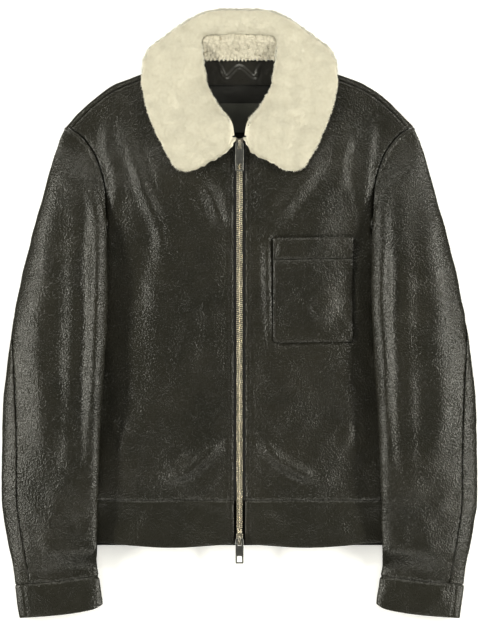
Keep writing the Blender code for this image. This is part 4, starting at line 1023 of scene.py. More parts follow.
def back_shell():
    over = spaced(0.170, step=0.0050)
    inner = np.linspace(0.0, RIM_START, 12)
    across = np.append(inner, (RIM_START + (1.0 - RIM_START) * over)[1:])
    grids = []
    for side in (LEFT, RIGHT):
        flat = grid_of(mirrored(back_surface, side), across, spaced(0.58, step=0.0075))
        rim = grid_of(mirrored(shoulder_rim, side), over, np.linspace(0.0, 0.97, 13))
        if side == RIGHT:
            flat, rim = flat[:, ::-1], rim[:, ::-1]
        grids += [flat, rim[::-1]]
    shoulders = [Seam(edge_line(mirrored(shoulder_rim, side), np.linspace(0.0, 1.0, 60), 0.97), 0.0006, 0.8, 41)
                 for side in (LEFT, RIGHT)]
    sides = [Seam(border(mirrored(back_surface, side), "far", 80), 0.0005, 0.6, 42) for side in (LEFT, RIGHT)]

    def creased(points):
        both = crease_relief(points, BACK_CREASES, 1) + 0.8 * crease_relief(points, BACK_CREASES, -1)
        return np.where(points[:, 2] < 0.0005, np.minimum(both, 0.0), 0.0)
    return grids, relief_of(shoulders, also=[relief_of(sides), creased])


def back_and_hems():
    grids, relief = back_shell()
    made = shell("back_leather", "back_panel", grids, -1, LEATHER, relief, [LEATHER_LOOK, LINING_LOOK],
                 seed=44)
    hem_seam = Seam(border(hem_back_surface, "top", 40), 0.0007, 1.0, 45)
    grid = grid_of(hem_back_surface, spaced(0.494, step=0.0060), spaced(0.060, step=0.0050))
    band = shell("hem_back_leather", "hem_band_back", [grid], -1, BAND,
                 relief_of([hem_seam]), [BAND_LOOK, LINING_LOOK], roll=0.0007, seed=46)
    rows = []
    for side in (LEFT, RIGHT):
        surface = mirrored(hem_surface, side)
        down = spaced(0.060, step=0.0032)
        main = grid_of(surface, spaced(0.232, step=0.0034), down)
        rim = grid_of(mirrored(rim_strip(HEM_SIDE, BAND + GAP), side), np.linspace(0.0, 1.0, 9), down)
        centre = border(surface, "near", 14)
        seams = [Seam(border(surface, "top", 60), 0.0012, 1.0, 50 + side),
                 Seam(border(surface, "foot", 60), 0.0003, 0.9, 52 + side),
                 Seam(centre, 0.0003, 0.4, 54, PLACKET_STITCH)]
        name = SIDE_NAMES[side]
        band = shell(f"hem_{name}_leather", f"hem_band_front_{name}", [main, rim], side, BAND,
                     relief_of(seams, HEM_CREASES, side), [BAND_LOOK, LINING_LOOK],
                     roll=0.0008, seed=56 + side)
        rows.append(stitch_row(band, centre, PLACKET_STITCH, (side * 0.20, -0.28, 0.03)))
    return rows


# ---------------------------------------------------------------- sleeves and cuffs

SLEEVE_CREASES = {
    RIGHT: [
        Crease([(0.2005, 0.1928), (0.1966, 0.1492), (0.1945, 0.1097), (0.1926, 0.0408), (0.1945, -0.0091),
                (0.1974, -0.0900), (0.2000, -0.1560), (0.2014, -0.2100)], 0.0019, 0.0068),
        Crease([(0.2440, 0.1770), (0.2580, 0.1100), (0.2700, 0.0410), (0.2760, -0.0090), (0.2700, -0.1100),
                (0.2724, -0.2100)], 0.0026, 0.0160),
        Crease([(0.2090, 0.1750), (0.2100, 0.0179), (0.2135, -0.1170), (0.2155, -0.2400)], -0.0034, 0.0100),
        Crease([(0.2250, 0.1650), (0.2290, 0.0179), (0.2325, -0.1170), (0.2335, -0.2400)], -0.0026, 0.0190),
        Crease([(0.2457, -0.2580), (0.2590, -0.3380)], 0.0009, 0.0110),
        Crease([(0.2860, -0.0300), (0.2600, -0.0520)], -0.0008, 0.0090),
        Crease([(0.2960, -0.2200), (0.2700, -0.2480), (0.2500, -0.2560)], -0.0008, 0.0090),
        Crease([(0.2080, -0.2700), (0.2260, -0.2950)], -0.0009, 0.0080),
    ],
    LEFT: [
        Crease([(0.1995, 0.1900), (0.1950, 0.1420), (0.1930, 0.0900), (0.1920, 0.0300), (0.1950, -0.0400),
                (0.1980, -0.1100), (0.2010, -0.1900)], 0.0018, 0.0068),
        Crease([(0.2420, 0.1800), (0.2570, 0.1130), (0.2690, 0.0380), (0.2750, -0.0300), (0.2710, -0.1200),
                (0.2700, -0.2200)], 0.0025, 0.0162),
        Crease([(0.2085, 0.1700), (0.2095, 0.0100), (0.2140, -0.1300), (0.2160, -0.2500)], -0.0033, 0.0100),
        Crease([(0.2240, 0.1600), (0.2285, 0.0100), (0.2330, -0.1300), (0.2340, -0.2500)], -0.0026, 0.0185),
        Crease([(0.2440, -0.2650), (0.2560, -0.3350)], 0.0009, 0.0105),
        Crease([(0.2900, -0.0600), (0.2640, -0.0760)], -0.0008, 0.0085),
        Crease([(0.3000, -0.2480), (0.2760, -0.2740), (0.2560, -0.2800)], -0.0009, 0.0090),
        Crease([(0.2060, -0.2500), (0.2240, -0.2780)], -0.0008, 0.0085),
    ],
}
UNDER_CREASES = [
    Crease([(0.2980, 0.0300), (0.2850, -0.0300), (0.2900, -0.0900)], -0.0009, 0.0090),
    Crease([(0.2960, -0.1600), (0.2860, -0.2200), (0.2900, -0.2800)], -0.0008, 0.0085),
]
HEAD_SWELL = 0.0010
HEAD_SWELL_AT = 0.0024
HEAD_SWELL_WIDTH = 0.0018


def sleeve_shells(side):
    name = SIDE_NAMES[side]
    half = SEAM_TURN / 2
    down = spaced(0.615, step=0.0036)
    upper = mirrored(between_seams(HIND_CURVE, half, FORE_CURVE, -half), side)
    under = mirrored(between_seams(FORE_CURVE, half, HIND_CURVE, 2.0 - half), side)
    hind_line, head = border(upper, "near", 110), border(upper, "top", 90)
    wrist = border(upper, "foot", 60)
    upper_seams = [Seam(hind_line, 0.0010, 1.1, 61 + side), Seam(border(upper, "far", 110), 0.0007, 0.6, 63),
                   Seam(head, 0.0007, 1.3, 65 + side), Seam(wrist, 0.0012, 1.8, 67 + side)]
    under_seams = [Seam(hind_line, 0.0008, 0.8, 71 + side), Seam(wrist, 0.0008, 1.2, 73)]

    def head_roll(points):
        distance, _ = to_line(points, head, 0.012)
        return HEAD_SWELL * np.exp(-((distance - HEAD_SWELL_AT) / HEAD_SWELL_WIDTH) ** 2)

    def under_troughs(points):
        return np.minimum(crease_relief(points, UNDER_CREASES, side), 0.0)
    upper_relief = relief_of(upper_seams, SLEEVE_CREASES[side], side, also=[head_roll])
    under_relief = relief_of(under_seams, also=[under_troughs])
    top = shell(f"sleeve_top_{name}_leather", f"sleeve_top_{name}",
                [grid_of(upper, spaced(0.235, step=0.0032), down)], -side, LEATHER, upper_relief,
                [LEATHER_LOOK, LINING_LOOK], seed=75 + side)
    low = shell(f"sleeve_under_{name}_leather", f"sleeve_under_{name}",
                [grid_of(under, spaced(0.190, step=0.0050), down)], -side, LEATHER, under_relief,
                [LEATHER_LOOK, LINING_LOOK], seed=78 + side)


CUFF_SEAM_TURN = 0.20
CUFF_CREASES = [
    Crease([(0.2760, -0.3720), (0.2680, -0.3860)], 0.0008, 0.0060),
    Crease([(0.2460, -0.3700), (0.2400, -0.3850)], -0.0006, 0.0070),
]


def cuff_shell(side):
    name = SIDE_NAMES[side]
    surface = mirrored(cuff_surface, side)
    turns = np.linspace(0.0, 2.0, 126)
    seams = [Seam(edge_line(surface, turns, 0.0), 0.0010, 1.6, 81 + side),
             Seam(edge_line(surface, turns, 1.0), 0.0003, 0.6, 83),
             Seam(edge_line(surface, CUFF_SEAM_TURN, np.linspace(0.0, 1.0, 16)), 0.0007, 0.4, 84)]
    made = shell(f"cuff_{name}_leather", f"cuff_{name}", [grid_of(surface, turns, spaced(0.047, step=0.0034))],
                 -side, BAND, relief_of(seams, CUFF_CREASES, side), [BAND_LOOK, LINING_LOOK],
                 roll=0.0008, seed=86 + side)


# ---------------------------------------------------------------- chest pocket

def pocket_patch(top_y, low_y, corner):
    """Plan of the pocket between two lines, with its lower corners rounded."""
    def surface(across, down, lift):
        drop = (1.0 - down) * (top_y - low_y)
        inset_here = corner - np.sqrt(np.maximum(corner ** 2 - np.clip(corner - drop, 0.0, corner) ** 2, 0.0))
        x = POCKET_INNER + inset_here + (POCKET_OUTER - POCKET_INNER - 2 * inset_here) * across
        y = low_y + drop + POCKET_TILT * (x - POCKET_MIDDLE)
        return np.stack([x, y, front_height(x, y) + lift], axis=-1)
    return surface


POCKET_STITCH = 0.0024
POCKET_CREASES = [
    Crease([(0.1290, 0.0280), (0.1130, 0.0080), (0.0980, -0.0060)], 0.0030, 0.0140),
    Crease([(0.0470, 0.0660), (0.0640, 0.0640), (0.0900, 0.0660)], 0.0010, 0.0050),
    Crease([(0.1440, 0.0600), (0.1450, 0.0200), (0.1420, -0.0200)], -0.0016, 0.0120),
    Crease([(0.0560, 0.0100), (0.0660, -0.0180)], -0.0006, 0.0110),
]
BAND_CORNERS = [
    Crease([(0.0556, 0.0989), (0.0522, 0.0860), (0.0490, 0.0746)], 0.0014, 0.0014),
    Crease([(0.1463, 0.1024), (0.1490, 0.0920), (0.1519, 0.0821)], 0.0014, 0.0014),
]


def pocket():
    rows = []
    corner_rows = 1.0 - np.array([0.0062, 0.0048, 0.0035, 0.0024, 0.0016, 0.0009, 0.0004, 0.0]) / 0.1121
    patch_rows = np.concatenate([spaced(0.112, step=0.0030)[:-11], corner_rows])
    pieces = (("pocket_leather", "chest_pocket", POCKET_BAND_Y - SEAM_GAP, POCKET_LOW_Y, POCKET_CORNER,
               POCKET_WALL, patch_rows, POCKET_CREASES, (0.108, 0.118)),
              ("pocket_band_leather", "pocket_band", POCKET_TOP_Y, POCKET_BAND_Y, 1e-5, POCKET_BAND_WALL,
               spaced(0.028, edge=0.0005, step=0.0022), BAND_CORNERS, (0.108, 0.032)))
    for name, node, top_y, low_y, corner, thickness, down, creases, flat in pieces:
        plan = pocket_patch(top_y, low_y, corner)

        def surface(across, down, plan=plan, thickness=thickness):
            return plan(across, down, POCKET_LIFT + thickness)
        own, shared = ("foot", "top") if node == "chest_pocket" else ("top", "foot")
        edges = [border(surface, which, 40) for which in ("near", "far", own)]
        seams = [Seam(edge, 0.0011, 0.8, 91, POCKET_STITCH) for edge in edges]
        seams.append(Seam(border(surface, shared, 40), 0.0014, 0.8, 93))
        made = shell(name, node, [grid_of(surface, spaced(0.108, step=0.0026), down)], 1, thickness,
                     relief_of(seams, creases, LEFT), [LEATHER_LOOK, LINING_LOOK],
                     roll=0.0005, seed=92)
        middle = (POCKET_MIDDLE, (top_y + low_y) / 2, 0.04)
        rows += [stitch_row(made, edge, POCKET_STITCH, middle) for edge in edges]
    return rows


# ---------------------------------------------------------------- inside the neck

def plate(name, node, x_range, y_range, height, thickness, relief, look, slot, flat, spacing, **words):
    def surface(across, down):
        x = x_range[0] + (x_range[1] - x_range[0]) * across
        y = y_range[1] + (y_range[0] - y_range[1]) * down
        return np.stack([x, y, 0.0 * x + height], axis=-1)
    across = spaced(x_range[1] - x_range[0], edge=0.0004, step=spacing)
    down = spaced(y_range[1] - y_range[0], edge=0.0004, step=spacing)
    made = shell(name, node, [grid_of(surface, across, down)], 1, thickness, relief, [look], seed=101)


def facing_relief(points):
    """The facing's W-shaped puckers, and its smaller gathers along the seam under them."""
    x, y = points[:, 0], points[:, 1]
    gathers = 0.00018 * np.sin(2 * math.pi * x / 0.0092) * np.exp(-(y - FACING_LOW_Y) / 0.0070)
    return crease_relief(points, FACING_CREASES, 1) + gathers


FACING_CREASES = [
    Crease([(-0.0330, 0.3420), (-0.0251, 0.3320), (-0.0171, 0.3191), (-0.0001, 0.3330), (0.0198, 0.3187),
            (0.0255, 0.3300), (0.0320, 0.3400)], 0.0018, 0.0022),
    Crease([(-0.0400, 0.3240), (-0.0340, 0.3330)], 0.0006, 0.0035),
    Crease([(0.0380, 0.3200), (0.0420, 0.3300)], 0.0006, 0.0035),
]
LINING_CREASES = [
    Crease([(-0.0300, 0.3020), (-0.0180, 0.2960), (-0.0080, 0.2990)], 0.0010, 0.0022),
    Crease([(0.0140, 0.2990), (0.0260, 0.2950), (0.0340, 0.2985)], 0.0010, 0.0022),
    Crease([(-0.0500, 0.2700), (-0.0420, 0.2300)], 0.0008, 0.0040),
    Crease([(0.0480, 0.2800), (0.0420, 0.2400)], 0.0008, 0.0040),
]


def neck_inside():
    lining_top = LEATHER + GAP + LINING
    plate("lining_cloth", "back_lining", (-0.0600, 0.0600), (LINING_LOW_Y, 0.3300), lining_top, LINING,
          lambda points: crease_relief(points, LINING_CREASES, 1), LINING_LOOK, "lining", (0.122, 0.131),
          0.0036, held="laid", rests_on=["back_leather"])
    plate("facing_leather", "back_neck_facing", (-0.0640, 0.0640), (FACING_LOW_Y, 0.3416),
          LEATHER + LINING + 3 * GAP + LEATHER, LEATHER, facing_relief, FACING_LOOK, "facing",
          (0.134, 0.0350), 0.0015, held="laid", rests_on=["lining_cloth"])
    plate("label_cloth", "label", (-LABEL_HALF_WIDTH, LABEL_HALF_WIDTH), (LABEL_LOW_Y, LABEL_HIGH_Y),
          lining_top + GAP + LABEL, LABEL, lambda points: 0.0 * points[:, 0], LABEL_LOOK, "label",
          (0.060, 0.0388), 0.0030, held="laid", rests_on=["lining_cloth"])


# ---------------------------------------------------------------- shearling

COLLAR_ROWS = 130
COLLAR_COLUMNS = 84
TUFT = 0.0046
TUFT_HEIGHT = 0.0004
FLEECE_DEPTH = 0.0012
BLADE_LENGTH = (0.0022, 0.0036)
BLADE_WIDTH = 0.00050
WOOL_TUFT = 0.0042
BLADES = 46000
RIM_INSET = 0.0018
RIM_TUFT = 0.0030
LIP_END_Y = 0.3150
PULL_ROOM = 0.0135
PULL_REACH = 0.0350
PULL_MIDDLE_Y = 0.2450
TIP_ROUNDING = 0.0090
TIP_ROUNDS = 24
STAND_OPENING_OUT = 0.0620
STAND_OPENING_Y = (0.3300, 0.3940)
EASE = 0.0060


def cells(points, size, seed):
    """Distance to the nearest of scattered centres, in units of their spacing."""
    rng = np.random.default_rng(seed)
    low, high = points.min(axis=0), points.max(axis=0)
    count = int(np.prod((high - low)[:2]) / size ** 2 * 1.3)
    centres = rng.uniform((*low[:2], 0.0), (*high[:2], 0.0), (count, 3))
    tree = KDTree(count)
    for index, centre in enumerate(centres):
        tree.insert(centre, index)
    tree.balance()
    nearest = [tree.find((x, y, 0.0)) for x, y in points[:, :2].tolist()]
    return np.array([found[2] for found in nearest]) / size, centres[[found[1] for found in nearest]]


def cushioned(height, turn):
    """Heights of half the collar, with the steps of what it lies on smoothed out of its upper side."""
    weight = smooth((turn - 0.08) / 0.14) * smooth((0.92 - turn) / 0.14)
    for _ in range(90):
        along_it = np.concatenate([height[1:], height[-2:-1]]) + np.concatenate([height[:1], height[:-1]])
        across_it = np.roll(height, 1, axis=1) + np.roll(height, -1, axis=1)
        height = height + weight * ((along_it + across_it) / 4 - height)
    return height


def collar_mesh():
    """The collar's whole body: closed rings from one leaf's end to the other's, with both ends shut."""
    share = np.concatenate([[0.0, 0.004, 0.009, 0.016, 0.025, 0.036], np.linspace(0.050, 1.0, COLLAR_ROWS)])
    turn = np.linspace(0.0, 2.0, COLLAR_COLUMNS + 1)
    half = grid_of(collar_surface, turn, share)
    half[..., 2] = cushioned(half[..., 2], turn)
    other = half[::-1][1:] * (-1.0, 1.0, 1.0)
    grid = np.concatenate([half, other])
    caps = []
    middle = COLLAR_COLUMNS // 2
    for ring, order in ((grid[0], 1), (grid[-1], -1)):
        cap = np.stack([ring[:middle + 1], ring[:middle - 1:-1]])
        caps.append(cap[::order])
    points, faces = joined([grid] + caps)
    return points, faces[:, ::-1]


def evened(values, faces, rounds, weight=1.0):
    """Values at the points, each drawn toward the mean of the faces round it, this many rounds."""
    shares = np.zeros(len(values))
    np.add.at(shares, faces, 1.0)
    shares = shares.reshape(-1, *[1] * (values.ndim - 1))
    for _ in range(rounds):
        total = np.zeros(values.shape)
        np.add.at(total, faces, np.repeat(values[faces].mean(axis=1)[:, None], 4, axis=1))
        values = values + weight * (total / shares - values)
    return values


def collar():
    points, faces = collar_mesh()
    normals = vertex_normals(points, faces)
    upper = smooth(0.5 + 2.0 * normals[:, 2])
    distance, _ = cells(points, TUFT, 201)
    lift = TUFT_HEIGHT * (0.5 - distance) * upper - FLEECE_DEPTH * upper
    lift += 0.0005 * rumple(points, 0.060, 203) * upper + 0.00015 * rumple(points, 0.016, 204) * upper
    facing = normals[:, 2][faces].mean(axis=1)
    slant = evened(normals[:, 2], faces, 4)
    rim = smooth((slant + 0.30) / 0.15) * (1.0 - smooth((slant - 0.20) / 0.60))
    out, y = np.abs(points[:, 0]), points[:, 1].copy()
    at_stand = (smooth((STAND_OPENING_OUT - out) / EASE) * smooth((y - STAND_OPENING_Y[0]) / EASE)
                * smooth((STAND_OPENING_Y[1] - y) / EASE))
    lift -= rim * (1.0 - at_stand) * (RIM_INSET + RIM_TUFT * (distance - 0.45))
    points = settled(points + lift[:, None] * normals)
    tip_out, tip_y = COLLAR_END[-1]
    at_tip = np.exp(-((out - tip_out) ** 2 + (points[:, 1] - tip_y) ** 2) / TIP_ROUNDING ** 2)
    points = evened(points, faces, TIP_ROUNDS, at_tip[:, None])
    normals = vertex_normals(points, faces)
    middle = points[faces].mean(axis=1)
    beneath = facing < np.where(middle[:, 1] < LIP_END_Y, -0.18, -0.75)
    woolly = facing > np.where(middle[:, 1] < LIP_END_Y, -0.15, -0.60)
    clear = (np.abs(middle[:, 0]) > PULL_ROOM) | (np.abs(middle[:, 1] - PULL_MIDDLE_Y) > PULL_REACH)
    piece = make_object("collar_fleece", points, faces, [WOOL_LOOK, EDGE_LOOK], beneath.astype(np.int32))
    belongs(piece, "garment", "collar")
    for side in (LEFT, RIGHT):
        half = faces[(middle[:, 0] * side > 0) & clear & woolly]
        wool(f"collar_wool_{SIDE_NAMES[side]}", points, half, normals, BLADES, BLADE_LENGTH, 210 + side)


def wool(name, points, faces, normals, count, length, seed, curl=0.0):
    """Short flat locks of wool, rooted over these faces and lying in tufts; each is a quad and a tip."""
    rng = np.random.default_rng(seed)
    corner = points[faces]
    area = np.linalg.norm(np.cross(corner[:, 2] - corner[:, 0], corner[:, 3] - corner[:, 1]), axis=1)
    chosen = rng.choice(len(faces), count, p=area / area.sum())
    u, v = rng.random((2, count, 1))
    weights = np.stack([(1 - u) * (1 - v), u * (1 - v), u * v, (1 - u) * v], axis=1)
    root = (corner[chosen] * weights).sum(axis=1)
    normal = unit((normals[faces][chosen] * weights).sum(axis=1))
    sway = np.stack([rumple(root, 0.022, seed + 1), rumple(root, 0.022, seed + 2), 0 * root[:, 0]], axis=1)
    lean = 0.55 * sway + rng.normal(0.0, 0.75, (count, 3))
    lean = unit(lean - (lean * normal).sum(axis=1)[:, None] * normal)
    rim = 1.0 - smooth((normal[:, 2:] - 0.10) / 0.50)
    steep = rng.uniform(0.35, 0.95, (count, 1)) + 0.9 * rim
    heading = unit(normal * steep + lean)
    across = unit(np.cross(heading, normal))
    apart, centres = cells(root, WOOL_TUFT, seed + 3)
    size = rng.uniform(*length, (count, 1)) * (1.0 + rim * np.clip(0.55 - 1.25 * apart, -0.60, 0.35)[:, None])
    gather = (0.10 + 0.45 * rim) * (centres - root) * (1.0, 1.0, 0.0)
    wide = BLADE_WIDTH * rng.uniform(0.6, 1.2, (count, 1)) / 2
    start = root - 0.0004 * normal
    middle = start + heading * size * 0.55 + normal * size * 0.10
    astray = across * size * rng.normal(0.0, 0.15, (count, 1))
    tip = start + gather + heading * size - normal * size * (0.05 + curl) + astray
    blade = np.stack([start - across * wide, start + across * wide, middle + across * wide * 0.8,
                      middle - across * wide * 0.8, tip], axis=1)
    first = 5 * np.arange(count)[:, None]
    quads = (first + [0, 1, 2, 3]).tolist()
    tips = (first + [3, 2, 4]).tolist()
    vertices = blade.reshape(-1, 3)
    vertices[:, 2] = np.maximum(vertices[:, 2], 0.0002)
    piece = make_object(name, vertices, quads + tips, [WOOL_LOOK], soft=False)
    piece.data.shade_smooth()
    piece.data.normals_split_custom_set_from_vertices(np.repeat(normal, 5, axis=0).tolist())
    belongs(piece, "garment")


STAND_ROWS = 54
STAND_COLUMNS = 134
CURL = 0.0034
CURL_HEIGHT = 0.0015
STAND_TUCK = 0.0045
STAND_SECTIONS = [(STAND_HIGH_Y + STAND_TUCK, 0.0170, 0.0050), (STAND_HIGH_Y - 0.0060, 0.0200, 0.0010),
                  (0.3580, 0.0165, 0.0), (STAND_LOW_Y + 0.0050, 0.0112, 0.0), (STAND_LOW_Y, 0.0092, 0.0),
                  (STAND_LOW_Y - 0.0020, 0.0068, 0.0)]


def stand_surface(across, down):
    """The curly stand's upper face, from under the collar to its scalloped edge over the facing."""
    y = STAND_HIGH_Y + STAND_TUCK + (STAND_LOW_Y - 0.0012 - STAND_HIGH_Y - STAND_TUCK) * down
    top = table([(-section[0], section[1]) for section in STAND_SECTIONS], -y)
    narrow = table([(-section[0], section[2]) for section in STAND_SECTIONS], -y)
    x = (2.0 * across - 1.0) * (STAND_HALF_WIDTH + STAND_TUCK - narrow)
    scallop = 0.0012 * np.sin(2 * math.pi * x / 0.0052 + 1.3 * np.sin(x / 0.009)) * smooth((down - 0.90) / 0.10)
    return np.stack([x, y + scallop, top], axis=-1)


def collar_stand():
    grid = grid_of(stand_surface, np.linspace(0.0, 1.0, STAND_COLUMNS), np.linspace(0.0, 1.0, STAND_ROWS))
    points, faces = joined([grid])
    normals = vertex_normals(points, faces)
    distance, centres = cells(points, CURL, 221)
    mound = np.sqrt(np.maximum(1.0 - (distance / 0.95) ** 2, 0.0))
    swirl = np.arctan2(points[:, 1] - centres[:, 1], points[:, 0] - centres[:, 0])
    curled = 0.25 * np.cos(2.0 * swirl + 7.0 * distance)
    points = points + (CURL_HEIGHT * (mound + curled - 1.0))[:, None] * normals
    points[:, 2] = np.maximum(points[:, 2], 0.0004)
    normals = vertex_normals(points, faces)
    wall, every, _ = thicken(points, faces, normals, 0.0020, 0.0004)
    wall[:, 2] = np.maximum(wall[:, 2], 0.0002)
    piece = make_object("stand_fleece", wall, every, [CURL_LOOK])
    belongs(piece, "garment", "collar_stand")
    wool("stand_wool", points, faces, normals, 9000, (0.0012, 0.0022), 231, curl=0.25)


# ---------------------------------------------------------------- zip

TOOTH_PITCH = 0.0027
TOOTH_HALF_LENGTH = 0.00066
TOOTH_TOP = 0.0006
TOOTH_LOW = -0.0028
TAPE_HIGH_Y = 0.2300
TAPE_INNER = 0.0004
TAPE_WIDTH = 0.0166
TAPE_DROP = LEATHER + 0.0008
CORD_OUT = 0.0030
CORD_RADIUS = 0.0008
STOP_LENGTH = 0.0066
CHAIN_LOW_Y = HINGE_BOTTOM_Y + 0.0078
CHAIN_HIGH_Y = HINGE_TOP_Y - 0.0078

# One tooth from its leg outside the cord to its head past the middle: (out, half length, height share)
TOOTH = [(0.00400, 0.55, 0.62), (0.00380, 0.80, 0.82), (0.00300, 0.85, 1.00), (0.00160, 0.70, 1.00),
         (0.00080, 0.70, 0.95), (0.00010, 0.80, 0.90), (-0.00055, 0.70, 0.80), (-0.00080, 0.45, 0.60)]


# An end stop, from the chain's foot up: (along, half width)
END_STOP = [(0.0, 0.0010), (0.0007, 0.0014), (0.0020, 0.0014), (0.0033, 0.0012), (0.0046, 0.0014), (0.0058, 0.0014),
            (0.0064, 0.0010)]
END_STOP_OUT = 0.0020


def loft(sections):
    """Points and faces of a closed body through rings of equal size."""
    rings = np.array(sections)
    count, around = rings.shape[:2]
    index = np.arange(count * around).reshape(count, around)
    after = np.roll(index, -1, axis=1)
    faces = np.stack([index[:-1], after[:-1], after[1:], index[1:]], axis=-1).reshape(-1, 4).tolist()
    faces.append(index[0][::-1].tolist())
    faces.append(index[-1].tolist())
    return rings.reshape(-1, 3), faces


def bevelled(half_y, low, high, chamfer):
    """A rectangle with cut corners, in (y, z)."""
    return [(half_y - chamfer, high), (-half_y + chamfer, high), (-half_y, high - chamfer), (-half_y, low + chamfer),
            (-half_y + chamfer, low), (half_y - chamfer, low), (half_y, low + chamfer), (half_y, high - chamfer)]


def gathered(name, parts, materials, body, node=None):
    """One object from several bodies' points and faces."""
    points, faces, start = [], [], 0
    for part_points, part_faces in parts:
        points.append(np.asarray(part_points))
        faces += [[start + corner for corner in face] for face in part_faces]
        start += len(part_points)
    piece = make_object(name, np.concatenate(points), faces, materials)
    belongs(piece, body, node)
    return piece


def tooth(side, y):
    level = float(front_height(0.0, y))
    middle, half = (TOOTH_TOP + TOOTH_LOW) / 2, (TOOTH_TOP - TOOTH_LOW) / 2
    sections = []
    for out, length, share in TOOTH:
        outline = bevelled(TOOTH_HALF_LENGTH * length, middle - half * share, middle + half * share, 0.00022)
        sections.append([(side * out, y + along_y, level + z) for along_y, z in outline])
    points, faces = loft(sections)
    return points, faces if side > 0 else [face[::-1] for face in faces]


def zip_chain():
    parts = []
    count = int((CHAIN_HIGH_Y - CHAIN_LOW_Y - STOP_LENGTH) / (TOOTH_PITCH / 2))
    for index in range(count):
        side = LEFT if index % 2 else RIGHT
        parts.append(tooth(side, CHAIN_LOW_Y + STOP_LENGTH + (index + 0.5) * TOOTH_PITCH / 2))
    for side in (LEFT, RIGHT):
        sections = []
        for y, wide in END_STOP:
            level = float(front_height(0.0, CHAIN_LOW_Y + y))
            sections.append([(side * END_STOP_OUT + x, CHAIN_LOW_Y + y, level + z)
                             for x, z in bevelled(wide, TOOTH_LOW, TOOTH_TOP, 0.0004)])
        parts.append(loft(sections))
    mesh_facing_out(gathered("zip_teeth", parts, [TEETH_LOOK], "garment", "zip_chain"))


def mesh_facing_out(piece):
    """Turn every closed body's faces outward."""
    bm = bmesh.new()
    bm.from_mesh(piece.data)
    bmesh.ops.recalc_face_normals(bm, faces=bm.faces)
    bm.to_mesh(piece.data)
    bm.free()


def zip_tapes():
    for side in (LEFT, RIGHT):
        name = SIDE_NAMES[side]
        rows = np.linspace(WAIST_SEAM_Y, TAPE_HIGH_Y, 150)[::-1]
        columns = np.linspace(TAPE_INNER, TAPE_INNER + TAPE_WIDTH, 12)

        def surface(across, down, side=side):
            x = side * (TAPE_INNER + TAPE_WIDTH * across)
            y = TAPE_HIGH_Y + (WAIST_SEAM_Y - TAPE_HIGH_Y) * down
            return np.stack([x, y, front_height(x, y) - TAPE_DROP], axis=-1)
        grid = grid_of(surface, (columns - TAPE_INNER) / TAPE_WIDTH,
                       (TAPE_HIGH_Y - rows) / (TAPE_HIGH_Y - WAIST_SEAM_Y))
        points, faces = joined([grid])
        if side < 0:
            faces = faces[:, ::-1]
        normals = vertex_normals(points, faces)
        wall, every, _ = thicken(points, faces, normals, TAPE, 0.0001)
        piece = make_object(f"zip_tape_{name}_cloth", wall, every, [TAPE_LOOK])
        belongs(piece, "garment", f"zip_tape_{name}")
        sections = []
        for y in rows[::2]:
            level = float(front_height(0.0, y)) - TAPE_DROP + CORD_RADIUS * 0.6
            ring = [(side * CORD_OUT + CORD_RADIUS * math.cos(math.pi * k / 4), y,
                     level + CORD_RADIUS * math.sin(math.pi * k / 4)) for k in range(8)]
            sections.append(ring)
        cord = gathered(f"zip_cord_{name}", [loft(sections)], [TAPE_LOOK], "garment")
        mesh_facing_out(cord)


def hinge_height(y):
    return float(front_height(0.0, y)) + SLIDER_RISE + EYE_HALF_HEIGHT


def plate_mesh(name, outlines, thickness, bevel):
    """A flat plate with holes and rounded edges, as points and faces about its middle."""
    data = bpy.data.curves.new(name, "CURVE")
    data.dimensions = "2D"
    data.fill_mode = "BOTH"
    data.extrude = thickness / 2 - bevel
    data.bevel_depth = bevel
    data.bevel_resolution = 2
    data.offset = -bevel
    for outline in outlines:
        spline = data.splines.new("POLY")
        spline.points.add(len(outline) - 1)
        for point, (x, y) in zip(spline.points, outline):
            point.co = (x, y, 0.0, 1.0)
        spline.use_cyclic_u = True
    drawn = bpy.data.objects.new(name, data)
    bpy.context.scene.collection.objects.link(drawn)
    bpy.context.view_layer.update()
    mesh = bpy.data.meshes.new_from_object(drawn.evaluated_get(bpy.context.evaluated_depsgraph_get()))
    bpy.data.objects.remove(drawn, do_unlink=True)
    bm = bmesh.new()
    bm.from_mesh(mesh)
    bmesh.ops.remove_doubles(bm, verts=bm.verts, dist=2e-6)
    bmesh.ops.recalc_face_normals(bm, faces=bm.faces)
    points = np.array([tuple(vertex.co) for vertex in bm.verts])
    bm.verts.index_update()
    faces = [[vertex.index for vertex in face.verts] for face in bm.faces]
    bm.free()
    return points, faces


def rounded_box(x_range, y_range, radius, steps=6):
    """Outline of a rectangle with round corners."""
    outline = []
    corners = [(x_range[1] - radius, y_range[1] - radius, 0), (x_range[0] + radius, y_range[1] - radius, 90),
               (x_range[0] + radius, y_range[0] + radius, 180), (x_range[1] - radius, y_range[0] + radius, 270)]
    for x, y, start in corners:
        for step in range(steps + 1):
            angle = math.radians(start + 90 * step / steps)
            outline.append((x + radius * math.cos(angle), y + radius * math.sin(angle)))
    return outline


# Half outline of a slider's wing plate from its narrow end to its wide one: (half width, along)
WING = [(0.0030, -0.0075), (0.0041, -0.0068), (0.0043, -0.0030), (0.0040, 0.0000), (0.0045, 0.0025), (0.0052, 0.0048),
        (0.0052, 0.0064), (0.0046, 0.0074), (0.0030, 0.0072), (0.0014, 0.0058), (0.0, 0.0054)]
# Its side walls and the wedge between its wings: (along, out) and (along, half width)
SLIDER_WALL = [(-0.0066, 0.0036), (-0.0030, 0.0038), (0.0, 0.0035), (0.0025, 0.0040), (0.0046, 0.0046),
               (0.0062, 0.0046)]
SLIDER_WEDGE = [(0.0010, 0.0003), (0.0030, 0.0010), (0.0052, 0.0016)]
SLIDER_FOOT = -0.0020
PLATE = 0.0011
STRAP_HALF_WIDTH = 0.0014


